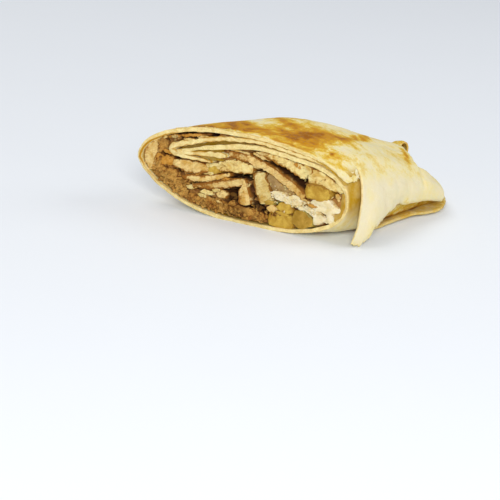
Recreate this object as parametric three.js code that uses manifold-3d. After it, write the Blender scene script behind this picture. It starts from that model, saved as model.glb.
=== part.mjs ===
// Half of a gyro wrap, cut slantwise, lying on its side with the cut at the front left.
// Millimetres, +Z up, +X along the roll from the cut to the closed end.
import * as THREE from "three";
import { mergeVertices } from "three/addons/utils/BufferGeometryUtils.js";
import Module from "manifold-3d";

// Sizes of the roll
const ROLL_WIDTH = 77; // across the roll, side to side
const ROLL_HEIGHT = 42; // table to crest
const TIP_HEIGHT = 22; // height of the widest line on the long side
const MID_HEIGHT = 21; // height of the widest line on the short side
const CUT_ANGLE = THREE.MathUtils.degToRad(48); // between the cut and the roll's length
const CUT_LENGTH = ROLL_WIDTH / Math.sin(CUT_ANGLE);
const TIP_X = -73.2; // where the long side meets the cut
const BACK_Y = 40.4; // long side of the roll
const FRONT_Y = BACK_Y - ROLL_WIDTH; // short side of the roll
const SHORT_X = TIP_X + CUT_LENGTH * Math.cos(CUT_ANGLE); // where the short side meets the cut
const STEP_X = TIP_X + 137; // where the thick part of the roll ends, on the long side
const TAIL_X = TIP_X + 145.5; // flattened tail, its far edge
const CLOSED_X = TIP_X + 120; // the roll is solid folded bread from here on
const BASE_SINK = 0.35; // how much of the belly is pressed flat

// Sizes of the flatbread
const SHEET = 1.5; // one layer
const RIM = 1.9; // layer round the short side

// ---------------------------------------------------------------- shape of the roll

// Eased step from 0 at a to 1 at b.
function ease(a, b, v) {
  const t = Math.min(1, Math.max(0, (v - a) / (b - a)));
  return t * t * (3 - 2 * t);
}

// X of the cut face at the distance s along it.
function cutX(s) {
  return TIP_X + s * Math.cos(CUT_ANGLE);
}

// Y of the long side, which draws in towards the tail.
function backLine(x) {
  return BACK_Y - 3 * ease(TIP_X + 72, TIP_X + 132, x) - 6 * ease(TIP_X + 130, TIP_X + 150, x);
}

// Y of the short side, which runs in to make the tail narrow.
function frontLine(x) {
  const t = Math.min(1.1, Math.max(0, (x - SHORT_X) / (TAIL_X - SHORT_X)));
  return FRONT_Y + 34 * Math.pow(t, 1.15);
}

// X where the thick part of the roll ends: it slants back from the long side.
function stepLine(u) {
  return STEP_X - 8.5 * (Math.min(1, Math.max(-1, u)) + 0.85);
}

// Share of the full height that is left at x; u runs from -1 (long side) to 1 (short side).
function crown(x, u) {
  const v = x - TIP_X;
  const f = (1 + Math.min(1.1, Math.max(-1, u))) / 2;
  const step = stepLine(u);
  const back = 1 + 0.06 * ease(2, 46, v) - 0.52 * ease(60, 146, v) - 0.3 * ease(step - 1.3, step + 1.3, x);
  const front = 1 - 0.48 * ease(66, 142, v) - 0.24 * ease(126, 146, v);
  return back * (1 - f) + front * f;
}

// Height of the belly of the section on the short side, for a rounder (3.2) or squarer (8) power.
function belly(u, power) {
  const v = Math.min(1, Math.max(0, u));
  return MID_HEIGHT * (1 - Math.sqrt(1 - Math.pow(v, power)));
}

// Point (s, z) of the section carried to the station x. The belly gets squarer towards the tail.
function place(s, z, x) {
  const u = (2 * s) / CUT_LENGTH - 1;
  const back = backLine(x);
  const front = frontLine(x);
  const y = (back + front) / 2 - (u * (back - front)) / 2;
  let h = z;
  if (u > 0 && u < 1 && z < MID_HEIGHT) {
    const round = belly(u, 3.2);
    const reach = Math.min(1, (MID_HEIGHT - z) / Math.max(0.5, MID_HEIGHT - round));
    h -= ease(TIP_X + 56, TIP_X + 98, x) * (round - belly(u, 8)) * reach;
  }
  return [x, y, Math.max(0, h - BASE_SINK) * crown(x, u)];
}

// Outline of the section at the angle a, moved inwards by inset: a = 0 short side, PI/2 crest, PI long side.
function outline(a, inset) {
  const u = Math.cos(a);
  const up = Math.sin(a) >= 0;
  const w = Math.abs(u);
  let mid = MID_HEIGHT;
  let half = MID_HEIGHT;
  let shape = Math.sqrt(1 - Math.pow(w, up ? 2.6 : 3.2));
  if (u < 0) {
    mid = TIP_HEIGHT;
    half = up ? ROLL_HEIGHT - TIP_HEIGHT : TIP_HEIGHT;
    shape = up ? Math.sqrt(1 - Math.pow(w, 2.6)) : Math.pow(1 - Math.pow(w, 2.2), 0.75);
  }
  const s = CUT_LENGTH / 2 + (CUT_LENGTH / 2 - inset) * u;
  return [s, mid + (up ? 1 : -1) * (half - inset) * shape];
}

// Value at t of a list of [t, value] steps, joined by straight lines.
function blend(steps, t) {
  let k = 0;
  while (k < steps.length - 2 && t > steps[k + 1][0]) k += 1;
  const [a, b] = [steps[k], steps[k + 1]];
  const f = Math.min(1, Math.max(0, (t - a[0]) / (b[0] - a[0])));
  return a[1] + (b[1] - a[1]) * f;
}

// Smooth line of count + 1 points [s, z, thickness] through the given ones.
function smoothLine(points, count) {
  const path = new THREE.CatmullRomCurve3(points.map((p) => new THREE.Vector3(...p)), false, "centripetal");
  return path.getSpacedPoints(count).map((p) => [p.x, p.y, p.z]);
}

// Closed outline round a line of [s, z, thickness], counterclockwise, with rounded ends.
function strip(line, scale = 1, wave = 0, phase = 0) {
  const run = [0];
  for (let i = 1; i < line.length; i += 1) {
    run.push(run[i - 1] + Math.hypot(line[i][0] - line[i - 1][0], line[i][1] - line[i - 1][1]));
  }
  const total = run[run.length - 1];
  const sides = [[], []];
  line.forEach(([s, z, t], i) => {
    const a = line[Math.max(0, i - 1)];
    const b = line[Math.min(line.length - 1, i + 1)];
    const d = Math.hypot(b[0] - a[0], b[1] - a[1]);
    const end = Math.min(run[i], total - run[i]) / (t / 2);
    const round = end < 1 ? 0.45 + 0.55 * Math.sqrt(1 - (1 - end) ** 2) : 1;
    const ripple = 1 - wave * (0.5 + 0.5 * Math.sin(run[i] * 1.3 + phase));
    const r = (t / 2) * round * ripple * scale;
    sides[0].push([s + ((b[1] - a[1]) / d) * r, z - ((b[0] - a[0]) / d) * r]);
    sides[1].push([s - ((b[1] - a[1]) / d) * r, z + ((b[0] - a[0]) / d) * r]);
  });
  return sides[0].concat(sides[1].reverse());
}

// Closed outline of a lump.
function oval(s, z, rs, rz, scale, phase) {
  const count = 11;
  return Array.from({ length: count }, (_, i) => {
    const a = (2 * Math.PI * i) / count;
    const r = scale * (1 - 0.1 * (0.5 + 0.5 * Math.sin(3 * a + phase)));
    return [s + rs * r * Math.cos(a), z + rz * r * Math.sin(a)];
  });
}

// ---------------------------------------------------------------- solids

const wasm = await Module();
wasm.setup();

// Solid through rings of points, each ring counterclockwise seen from the start, closed by flat ends.
function loft(rings, flat) {
  const n = rings[0].length;
  const points = rings.flat();
  const faces = [];
  for (let k = 0; k < rings.length - 1; k += 1) {
    for (let i = 0; i < n; i += 1) {
      const j = (i + 1) % n;
      const [a, b, c, d] = [k * n + i, k * n + j, (k + 1) * n + j, (k + 1) * n + i];
      faces.push([a, c, b], [a, d, c]);
    }
  }
  const cap = THREE.ShapeUtils.triangulateShape(flat.map((p) => new THREE.Vector2(...p)), []);
  const last = (rings.length - 1) * n;
  cap.forEach(([a, b, c]) => {
    faces.push([a, b, c], [last + a, last + c, last + b]);
  });
  return solid(points, faces);
}

// manifold-3d solid from points and triangles, turned outwards if need be.
function solid(points, faces) {
  const build = (list) => {
    const mesh = new wasm.Mesh({
      numProp: 3,
      vertProperties: new Float32Array(points.flat()),
      triVerts: new Uint32Array(list.flat()),
    });
    return new wasm.Manifold(mesh);
  };
  const made = build(faces);
  return made.volume() > 0 ? made : build(faces.map(([a, b, c]) => [a, c, b]));
}

// Layer of flatbread: the line's outline run from the cut to the closed end.
function layer(line, stations) {
  const rings = stations.map(([share, scale]) =>
    strip(line, scale).map(([s, z]) => place(s, z, cutX(s) + (CLOSED_X + 2 - cutX(s)) * share))
  );
  return loft(rings, strip(line, 1));
}

// ---------------------------------------------------------------- flatbread

// Unrolled angle of the outer sheet: from its free edge on the short side's shoulder over the crest,
// round the long side, under the belly, up the short side and back over the filling.
const SHOULDER = 0.42;
const INSETS = [
  [SHOULDER, -0.6],
  [0.6, -0.5],
  [0.85, 0.1],
  [1.1, SHEET / 2],
  [1.75 * Math.PI, SHEET / 2 + 0.1],
  [2 * Math.PI, RIM / 2],
  [2 * Math.PI + 0.3, 1.1],
  [2 * Math.PI + 0.5, 1.8],
  [2 * Math.PI + 0.62, 2.3],
  [2 * Math.PI + 0.74, 3.1],
  [2 * Math.PI + 1, 4.8],
  [2 * Math.PI + 1.4, 5.1],
];
const THICKNESSES = [
  [SHOULDER, SHEET],
  [1.5, SHEET],
  [1.9, RIM],
  [3, RIM + 0.2],
  [3.8, SHEET + 0.2],
  [5.5, SHEET + 0.2],
  [2 * Math.PI, RIM],
  [2 * Math.PI + 1.4, 1.8],
];
const TURNS = 58;

function outerSheet() {
  const last = 2 * Math.PI + 1.4;
  const line = Array.from({ length: TURNS + 1 }, (_, i) => {
    const a = SHOULDER + ((last - SHOULDER) * i) / TURNS;
    const t = blend(THICKNESSES, a);
    return [...outline(a, blend(INSETS, a)), t];
  });
  const tuckedEnd = [[50, 35.6, 2.5], [40, 33.5, 2.6], [30, 30.9, 1.8], [20, 28, 2.6]];
  const tuck = smoothLine([line[TURNS], ...tuckedEnd], 12);
  return line.concat(tuck.slice(1));
}

// Second layer under the crest: leaves the shoulder, turns back on the long side and ends in the filling.
function tuckedSheet() {
  const line = Array.from({ length: 12 }, (_, i) => {
    const a = 0.66 + (0.8 * i) / 11;
    return [...outline(a, 0.2 + 2.3 * ease(0.66, 1.08, a)), 1.6];
  });
  const from = line[line.length - 1];
  const back = [
    from,
    [50, 38.9, 1.9],
    [40, 37.5, 2.3],
    [35, 36.2, 2.5],
    [28, 34, 2.6],
    [20, 31.6, 2.8],
    [17, 30.2, 3],
    [16.2, 28.6, 3],
    [18.4, 27.2, 2.4],
    [28, 26.6, 1.5],
    [33, 26.6, 1.3],
    [37, 26.4, 1.1],
  ];
  return line.concat(smoothLine(back, 26).slice(1));
}

// Short inner ply between the two folds.
function innerPly() {
  return smoothLine([[18, 28, 2.2], [26, 28.5, 1.8], [34, 29.4, 2], [40, 29.8, 2.2], [44, 30.2, 2]], 12);
}

// Solid folded bread that closes the roll and flattens into the tail.
function closedEnd() {
  const count = 36;
  const flat = Array.from({ length: count }, (_, i) => outline((2 * Math.PI * i) / count, 0));
  const stations = [
    [CLOSED_X, 0.02],
    [TIP_X + 124, 0],
    [TIP_X + 127, 0],
    [TIP_X + 129.5, 0],
    [TIP_X + 131.5, 0],
    [TIP_X + 133.5, 0],
    [TIP_X + 135, 0],
    [TIP_X + 136.8, 0],
    [TIP_X + 140, 0],
    [TAIL_X - 2.6, 0],
    [TAIL_X - 0.8, 0.06],
    [TAIL_X, 0.3],
  ];
  const rings = stations.map(([x, draw]) =>
    flat.map(([s, z]) => {
      const m = CUT_LENGTH / 2;
      return place(m + (s - m) * (1 - draw * 0.4), 8 * draw + z * (1 - draw * 0.6), x);
    })
  );
  return loft(rings, flat);
}

// The free edge of the outer sheet: hangs off the shoulder as a flap whose tip touches the table,
// then climbs and runs along the tail as an overhanging lip. Rows are [x from tip, y in from short side, z].
const FLAP_EDGE = [
  [71.5, -1.7, 0.7],
  [76, -2, 0.6],
  [80.5, -1.5, 3],
  [84.5, 0.5, 7],
  [88.5, 2.5, 8],
  [92.5, 5.5, 9.7],
  [100, 11, 11.3],
  [104, 13.5, 12.2],
  [108, 16, 10.4],
  [114.5, 18.5, 9.6],
  [121.5, 21, 8.8],
  [133, 25, 6.4],
  [137, 27, 5],
];
const FLAP_COLUMNS = 26;
const FLAP_ROWS = 8;

function flap() {
  const path = new THREE.CatmullRomCurve3(FLAP_EDGE.map((p) => new THREE.Vector3(...p)));
  const inner = [];
  const outer = [];
  for (let i = 0; i <= FLAP_COLUMNS; i += 1) {
    const q = i / FLAP_COLUMNS;
    const edge = path.getPoint(q);
    const end = new THREE.Vector3(TIP_X + edge.x, FRONT_Y + edge.y, edge.z);
    const topX = TIP_X + 77 + (end.x - TIP_X - 71.5) * 0.92;
    const top = new THREE.Vector3(...place(...outline(SHOULDER + 0.16, -0.2), topX));
    const turn = new THREE.Vector3(...place(...outline(SHOULDER + 0.04, -0.6), topX));
    const out = 6.5 - 3 * ease(0.1, 0.5, q);
    const pull = Math.min(10, 0.45 * (top.z - end.z));
    const curve = new THREE.CubicBezierCurve3(
      turn,
      turn.clone().add(new THREE.Vector3(0.5, -out, -0.45 * out)),
      end.clone().add(new THREE.Vector3(4 - 3.5 * ease(0, 0.3, q), -1.6, pull)),
      end
    );
    const row = [top, ...Array.from({ length: FLAP_ROWS }, (_, k) => curve.getPoint(k / (FLAP_ROWS - 1)))];
    const ragged = 0.5 * Math.sin(5 * q * FLAP_COLUMNS) + 0.4 * Math.sin(2.3 * q * FLAP_COLUMNS);
    row[row.length - 1].z = Math.max(0.6, row[row.length - 1].z + ragged);
    row.forEach((p, k) => {
      const a = row[Math.max(0, k - 1)];
      const b = row[Math.min(row.length - 1, k + 1)];
      const side = new THREE.Vector3(0, b.z - a.z, a.y - b.y).normalize();
      const half = (SHEET / 2) * (k === row.length - 1 ? 0.6 : k === 0 ? 0.6 : 1.08);
      outer.push([p.x, p.y + side.y * half, Math.max(0, p.z + side.z * half)]);
      inner.push([p.x, p.y - side.y * half, Math.max(0, p.z - side.z * half)]);
    });
  }
  return sheetBetween(outer, inner, FLAP_ROWS + 1);
}

// Closed sheet between two grids of points with the given row length.
function sheetBetween(outer, inner, width) {
  const n = outer.length;
  const columns = n / width;
  const faces = [];
  const quad = (a, b, c, d) => faces.push([a, b, c], [a, c, d]);
  for (let i = 0; i < columns - 1; i += 1) {
    for (let k = 0; k < width - 1; k += 1) {
      const a = i * width + k;
      quad(a, a + 1, a + width + 1, a + width);
      quad(n + a, n + a + width, n + a + width + 1, n + a + 1);
    }
    const [f, g] = [i * width, i * width + width - 1];
    quad(f, f + width, n + f + width, n + f);
    quad(g, n + g, n + g + width, g + width);
  }
  for (let k = 0; k < width - 1; k += 1) {
    const e = n - width + k;
    quad(k, n + k, n + k + 1, k + 1);
    quad(e, e + 1, n + e + 1, n + e);
  }
  return solid(outer.concat(inner), faces);
}

// Bottom sheet that reaches out on the table under the overhanging lip, past the tail.
const TONGUE_EDGE = [
  [92, 13],
  [101, 15.5],
  [110, 19],
  [119, 22],
  [128, 23],
  [135, 24.5],
  [140.5, 29],
  [146.5, 37.5],
  [148.4, 44],
  [147.3, 56],
];

function tongue() {
  const path = new THREE.CatmullRomCurve3(TONGUE_EDGE.map(([x, y]) => new THREE.Vector3(x, y, 0)));
  const outer = [];
  const inner = [];
  const columns = 22;
  const rows = 5;
  for (let i = 0; i <= columns; i += 1) {
    const q = i / columns;
    const edge = path.getPoint(q);
    const heart = new THREE.Vector3(118 - 10 * (1 - q), 62, 0).sub(edge).normalize();
    for (let k = 0; k < rows; k += 1) {
      const reach = 16 * ((rows - 1 - k) / (rows - 1));
      const rise = 0.7 * ease(8, 0, reach) * ease(0, 0.15, q);
      const x = TIP_X + edge.x + heart.x * reach;
      const y = FRONT_Y + edge.y + heart.y * reach;
      const tip = k === rows - 1 ? 0.35 : 0;
      outer.push([x, y, rise + SHEET - tip]);
      inner.push([x, y, Math.max(0, rise - 0.4) + tip]);
    }
  }
  return sheetBetween(outer, inner, rows);
}

// Curled end of the top sheet where the thick part of the roll stops, open at its side.
function curl() {
  const count = 12;
  const line = Array.from({ length: count + 1 }, (_, i) => {
    const a = 2 - (4.3 * i) / count;
    return [3.2 * Math.cos(a), 3.8 * Math.sin(a), SHEET];
  });
  const flat = strip(line, 1);
  const rings = Array.from({ length: 8 }, (_, k) => {
    const u = -0.9 + 0.075 * k;
    const s = (CUT_LENGTH / 2) * (1 + u);
    const x = stepLine(u) - 2.2;
    const crest = place(s, TIP_HEIGHT + 20 * Math.sqrt(1 - Math.pow(Math.abs(u), 2.6)), x);
    const size = 1 - 0.5 * ease(4, 7, k) - 0.2 * ease(1, 0, k);
    return flat.map(([a, b]) => [x + 1.6 + a * size, crest[1] + 0.5, crest[2] - 3.6 + b * size]);
  });
  return loft(rings, flat);
}

// The largest shell of a body, which drops any bubble shut in between touching layers.
function soundBody(body) {
  return body.decompose().sort((a, b) => b.volume() - a.volume())[0];
}

function flatbread() {
  const stations = [
    [0, 0.8],
    [0.012, 1],
    [0.12, 1],
    [0.24, 1],
    [0.37, 1],
    [0.5, 1],
    [0.63, 1],
    [0.76, 1],
    [0.88, 1],
    [1, 1],
  ];
  const bread = layer(outerSheet(), stations)
    .add(layer(tuckedSheet(), stations))
    .add(layer(innerPly(), stations))
    .add(closedEnd())
    .add(flap())
    .add(tongue())
    .add(curl());
  return soundBody(bread);
}

// ---------------------------------------------------------------- filling

// Slices: name, colour, how far back the front sits, depth, ripple, line of [s, z, thickness].
const CREAM = 0xe6cf9c;
const MEAT = 0xcf9f68;
const BROWN = 0xa9682c;
const POTATO = 0xd9b64a;
const SAUCE = 0xf6efe2;
const PICKLE = 0xa79338;
const CRUMB = 0xc79b5c;

const SLICES = [
  ["tip_slice", MEAT, 0.3, 44, 0.1,
    [[8.9, 31, 2], [7, 27.8, 3.7], [5.8, 24, 4.5], [7.1, 19.4, 3.8]]],
  ["top_slice", BROWN, 0.6, 36, 0.15,
    [[15, 34.2, 1.6], [19.6, 35.3, 2], [26, 36.8, 2], [33.6, 38.2, 1.3]]],
  ["seared_piece", BROWN, 0.2, 46, 0.1, [[9.2, 23.2, 4], [13, 23.1, 4.8], [18, 22.4, 3.8]]],
  ["left_slice", CREAM, 0.1, 50, 0.08,
    [[19.4, 22.1, 3.6], [25, 21.9, 4.8], [30, 21.9, 5], [34, 22.3, 3.6]]],
  ["potato_strip", CREAM, 0.4, 40, 0.06,
    [[41.6, 25.2, 3.6], [46, 25.9, 4.5], [51, 26.1, 4.8], [55.2, 26, 3.6]]],
  ["thin_slice", MEAT, 0.2, 44, 0.1,
    [[23.8, 16.9, 2.8], [29, 17.2, 3.2], [35, 18, 2.6], [45, 21.5, 1.6]]],
  ["middle_slice", CREAM, 0, 48, 0.08,
    [[29.6, 13.5, 2], [35, 14.5, 3.3], [43, 16.9, 3.9], [52.4, 19.8, 3.2]]],
  ["left_crumble", CRUMB, 0.5, 52, 0.14,
    [[9.6, 18, 3.8], [14, 16.3, 6.6], [19, 14.3, 7.6], [25, 12.3, 3.6]]],
  ["bottom_crumble", CRUMB, 0.4, 60, 0.1,
    [[24, 8.3, 3], [34, 6.8, 5.6], [42, 6, 6.2], [52, 5.3, 5.6], [63.6, 4.9, 5]]],
  ["wedge_slice", CREAM, 0, 38, 0.05, [[55.1, 19.8, 1.6], [55.3, 15, 4], [55.9, 9.4, 6]]],
  ["upright_slice", CREAM, 0.2, 46, 0.05, [[62, 25.6, 5.8], [62.8, 20, 9], [63.9, 12.2, 6.4]]],
  ["onion_wedge", PICKLE, 2, 30, 0.06, [[68.8, 22.1, 3.2], [72, 20.6, 2.5], [75, 19.3, 1.5]]],
  ["long_slice", MEAT, 0, 56, 0.05,
    [[46.3, 31.4, 3.2], [54, 31.3, 3.7], [66, 28.2, 3.8], [75, 24, 4], [81.9, 20, 3]]],
  ["upper_slice", BROWN, 0.6, 50, 0.06,
    [[58.8, 34.4, 1.6], [64, 33.8, 3], [70, 32.5, 4], [76, 31.1, 4.8], [81.2, 29.4, 5]]],
  ["side_slice", CREAM, 0.8, 44, 0.05, [[85.2, 29, 5.2], [90, 28.2, 4.6], [95.4, 26.4, 2.2]]],
  ["potato_chunk", POTATO, 0, 36, 0.04, [[83.8, 22.3, 4.4], [88.4, 22.4, 5], [93.2, 22, 4]]],
  ["sauce_strip", SAUCE, 0.3, 40, 0.08, [[83.6, 14.1, 2.1], [88.4, 12.2, 2.4], [93.8, 10.4, 1.6]]],
  ["pickle", PICKLE, 0, 30, 0.03, [[79.2, 8.9, 5.4], [82.4, 8.3, 7.7], [86.7, 7.9, 3.3]]],
  ["golden_slab", POTATO, 0.6, 50, 0.04, [[66.9, 5.3, 4.8], [71, 5.3, 5.5], [77, 5.7, 4.6]]],
];

// Lumps: name, colour, how far back the front sits, depth, centre s, centre z, half widths.
const LUMPS = [
  ["tip_lump", MEAT, 0, 30, 12.3, 29.9, 2.2, 3],
  ["potato_corner", POTATO, 0.4, 34, 37.5, 22.8, 2.7, 2],
  ["crumb_pale", CREAM, 0.2, 16, 35.8, 11.3, 2.8, 1.3],
  ["crumb_pink", MEAT, 0.6, 18, 42.5, 11.5, 2.4, 1.7],
  ["crumb_brown", BROWN, 1.4, 20, 47.8, 11.6, 1.8, 2.4],
  ["crumb_dark", BROWN, 1.2, 22, 61.4, 9.1, 1.8, 0.9],
  ["crumb_ruddy", MEAT, 0.4, 24, 67.6, 10.2, 2, 1.4],
  ["crumb_white", SAUCE, 0, 24, 71.4, 16.9, 3, 1.85],
  ["crumb_yellow", POTATO, 0.3, 26, 73.6, 11.9, 3.4, 2.5],
  ["sauce_dab", SAUCE, 0, 14, 78.3, 16.6, 3.2, 2.2],
  ["sauce_pool", SAUCE, 0.2, 42, 92.5, 16.2, 7.2, 3],
];

// Runs an outline back from the cut, its edges worn round at both ends.
function runBack(shape, front, depth, phase) {
  const stations = [
    [0, 0.78],
    [1.1, 1],
    [depth * 0.45, 0.97],
    [depth - 3, 0.9],
    [depth, 0.6],
  ];
  const rings = stations.map(([w, scale], k) =>
    shape(scale - 0.03 * Math.abs(Math.sin(k + phase))).map(([s, z]) => place(s, z, cutX(s) + front + w))
  );
  return loft(rings, shape(1));
}

// ---------------------------------------------------------------- assembly

const group = new THREE.Group();
group.name = "gyro_wrap_half";

function addNode(name, colour, body) {
  const made = body.getMesh();
  const geometry = new THREE.BufferGeometry();
  geometry.setAttribute("position", new THREE.BufferAttribute(new Float32Array(made.vertProperties), 3));
  geometry.setIndex(new THREE.BufferAttribute(new Uint32Array(made.triVerts), 1));
  const merged = mergeVertices(geometry, 1e-4);
  merged.computeVertexNormals();
  const material = new THREE.MeshStandardMaterial({ color: colour, roughness: 0.75, metalness: 0 });
  material.name = name + "_surface";
  const mesh = new THREE.Mesh(merged, material);
  mesh.name = name;
  group.add(mesh);
}

addNode("flatbread", 0xe8d29a, flatbread());
SLICES.forEach(([name, colour, front, depth, ripple, points], i) => {
  const line = smoothLine(points, points.length > 3 ? 7 : 6);
  addNode(name, colour, runBack((scale) => strip(line, scale, ripple, i), front, depth, i));
});
LUMPS.forEach(([name, colour, front, depth, s, z, rs, rz], i) => {
  addNode(name, colour, runBack((scale) => oval(s, z, rs, rz, scale, i), front, depth, i));
});

// The frame's origin is under the middle of the object, on the table.
const bounds = new THREE.Box3().setFromObject(group);
const middle = bounds.getCenter(new THREE.Vector3());
group.children.forEach((mesh) => mesh.geometry.translate(-middle.x, -middle.y, -bounds.min.z));

export default group;
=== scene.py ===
"""Half of a toasted flatbread wrap, cut on a slant: its rolled bread, fillings, crumbs and sauce.

Sizes in the classes are millimetres in the roll's own coordinates: X runs along the roll from the tip
of the cut to the tail, Y towards the long side and Z up. ``s`` is the distance along the slanted cut
from its tip and ``z`` the height on it. Meshes are in metres round the frame's origin.
"""
import logging
import math
from dataclasses import dataclass
from enum import Enum
from typing import Sequence

import bmesh
import bpy
import numpy as np
from mathutils import Matrix, Vector


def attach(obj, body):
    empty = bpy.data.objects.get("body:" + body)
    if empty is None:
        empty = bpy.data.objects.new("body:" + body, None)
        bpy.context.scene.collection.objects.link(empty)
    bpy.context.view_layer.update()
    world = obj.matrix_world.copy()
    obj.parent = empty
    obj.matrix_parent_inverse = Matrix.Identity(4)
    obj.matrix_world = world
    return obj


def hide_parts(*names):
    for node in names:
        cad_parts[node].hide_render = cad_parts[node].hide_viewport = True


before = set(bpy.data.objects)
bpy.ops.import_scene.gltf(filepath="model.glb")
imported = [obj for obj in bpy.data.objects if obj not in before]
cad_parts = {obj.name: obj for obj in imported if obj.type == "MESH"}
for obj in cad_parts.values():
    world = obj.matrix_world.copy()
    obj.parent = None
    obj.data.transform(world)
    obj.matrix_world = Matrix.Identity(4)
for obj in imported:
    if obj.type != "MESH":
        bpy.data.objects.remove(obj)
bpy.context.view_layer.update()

LOG = logging.getLogger("wrap")
Array = np.ndarray
Row = tuple[float, float, float]
Piece = bpy.types.Object
Material = bpy.types.Material
Tree = bpy.types.NodeTree
Socket = bpy.types.NodeSocket

MM = 0.001
TURN = 2 * math.pi
CENTRING = np.array([-1.03542, -0.39311, 0.0])  # from the roll's coordinates to the frame's
BODY = "root"
MERGE = 2e-6  # metres within which a piece's vertices become one
SLIVER = 1e-7  # metres below which an edge is dropped
SAMPLES = 400  # places at which a smooth line is first worked out
LOWEST = 0.6  # height in millimetres that no filling goes below


class Mark(Enum):
    """Names of the values that a mesh hands to its material, one number a vertex."""

    TOAST = "toast"
    CUT = "cut"
    INNER = "inner"
    RIM = "rim"
    # A piece's own darker tone together with painted shade: darker away from the cut, in the hollows and in
    # the gaps between sheets.
    TINT = "tint"


class Kind(Enum):
    """What a filling is made of; the value is its slot in the record."""

    PALE = "pale_meat"
    ROAST = "roast_meat"
    SEARED = "seared_meat"
    CRUMBLED = "crumbled_meat"
    POTATO = "potato"
    SAUCE = "sauce"
    PICKLE = "pickle"


# ---------------------------------------------------------------- numbers


def ease(a: float | Array, b: float | Array, v: float | Array) -> Array:
    """Smooth step from 0 at a to 1 at b: t * t * (3 - 2 t), t = (v - a) / (b - a) held in 0 to 1."""
    t = np.clip((np.asarray(v, float) - a) / (np.asarray(b, float) - a), 0.0, 1.0)
    return t * t * (3.0 - 2.0 * t)


def lattice(points: Array, cell: float, seed: int) -> Array:
    """Value noise: hashed numbers on a cubic lattice, blended with a smooth step along each axis.

    Args:
        points: Places, with x, y, z last.
        cell: Size of a lattice cell.
        seed: Picks the numbers.

    Returns:
        One number in -1 to 1 for each place.
    """
    p = np.asarray(points, float) / cell + 1000.0
    i = np.floor(p).astype(np.int64)
    f = p - i
    f = f * f * (3.0 - 2.0 * f)
    total = np.zeros(p.shape[:-1])
    for corner in range(8):
        step = np.array([corner & 1, corner >> 1 & 1, corner >> 2 & 1])
        q = i + step
        h = q[..., 0] * 374761393 + q[..., 1] * 668265263 + q[..., 2] * 1440662683 + seed * 97531
        h = (h ^ (h >> 13)) & 0xFFFFFFFF
        h = (h * 1274126177) & 0xFFFFFFFF
        h = (h ^ (h >> 16)) & 0xFFFF
        weight = np.prod(np.where(step, f, 1.0 - f), axis=-1)
        total += weight * (h / 32767.5 - 1.0)
    return total


def fractal(points: Array, cell: float, octaves: int, seed: int) -> Array:
    """Sum of lattice noise, each octave half the cell and half the height of the one before."""
    total = sum(lattice(points, cell / 2**k, seed + k) / 2**k for k in range(octaves))
    return total / sum(1 / 2**k for k in range(octaves))


def on_line(v: Array) -> Array:
    """Places on a straight line, for noise that changes one way only."""
    return np.stack([v, 0 * v, 0 * v], -1)


def unit(v: Array, least: float = 1e-9) -> Array:
    """Vectors divided by their length, or by ``least`` where they are shorter than that."""
    return v / np.maximum(np.linalg.norm(v, axis=-1, keepdims=True), least)


def run_along(points: Array) -> Array:
    """Distance of each point from the first, along the line through them."""
    return np.concatenate([[0.0], np.cumsum(np.linalg.norm(np.diff(points, axis=0), axis=1))])


def spline(points: Sequence[Sequence[float]], at: Array) -> Array:
    """Centripetal Catmull-Rom curve: a cubic between two points whose slopes come from their
    neighbours, with steps as long as the square root of the distances.

    Args:
        points: Points that the curve passes.
        at: Places from 0 to 1, each segment taking an equal share.

    Returns:
        One point for each place.
    """
    p = np.asarray(points, float)
    p = np.vstack([2 * p[0] - p[1], p, 2 * p[-1] - p[-2]])
    pieces = len(p) - 3
    along = np.clip(np.asarray(at, float), 0.0, 1.0) * pieces
    k = np.minimum(along.astype(int), pieces - 1)
    w = (along - k)[:, None]
    a, b, c, d = p[k], p[k + 1], p[k + 2], p[k + 3]
    apart = [np.linalg.norm(v - u, axis=1)[:, None] for u, v in ((a, b), (b, c), (c, d))]
    gap = [np.maximum(distance, 1e-6) ** 0.5 for distance in apart]
    first = ((b - a) / gap[0] - (c - a) / (gap[0] + gap[1]) + (c - b) / gap[1]) * gap[1]
    second = ((c - b) / gap[1] - (d - b) / (gap[1] + gap[2]) + (d - c) / gap[2]) * gap[1]
    square = (3 * (c - b) - 2 * first - second) * w**2
    return b + first * w + square + (2 * (b - c) + first + second) * w**3


def even(points: Array, count: int, places: int = 2) -> Array:
    """Points spaced evenly along the line through the given ones.

    Args:
        points: The line.
        count: How many points come back.
        places: How many of the columns measure distance.

    Returns:
        The even points.
    """
    run = run_along(points[:, :places])
    at = np.linspace(0.0, run[-1], count)
    return np.stack([np.interp(at, run, points[:, k]) for k in range(points.shape[1])], axis=1)


def smooth_line(points: Sequence[Sequence[float]], count: int) -> Array:
    """Even points on the smooth curve through rows of s, z and thickness."""
    return even(spline(points, np.linspace(0.0, 1.0, SAMPLES)), count)


# ---------------------------------------------------------------- shape of the roll


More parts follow.
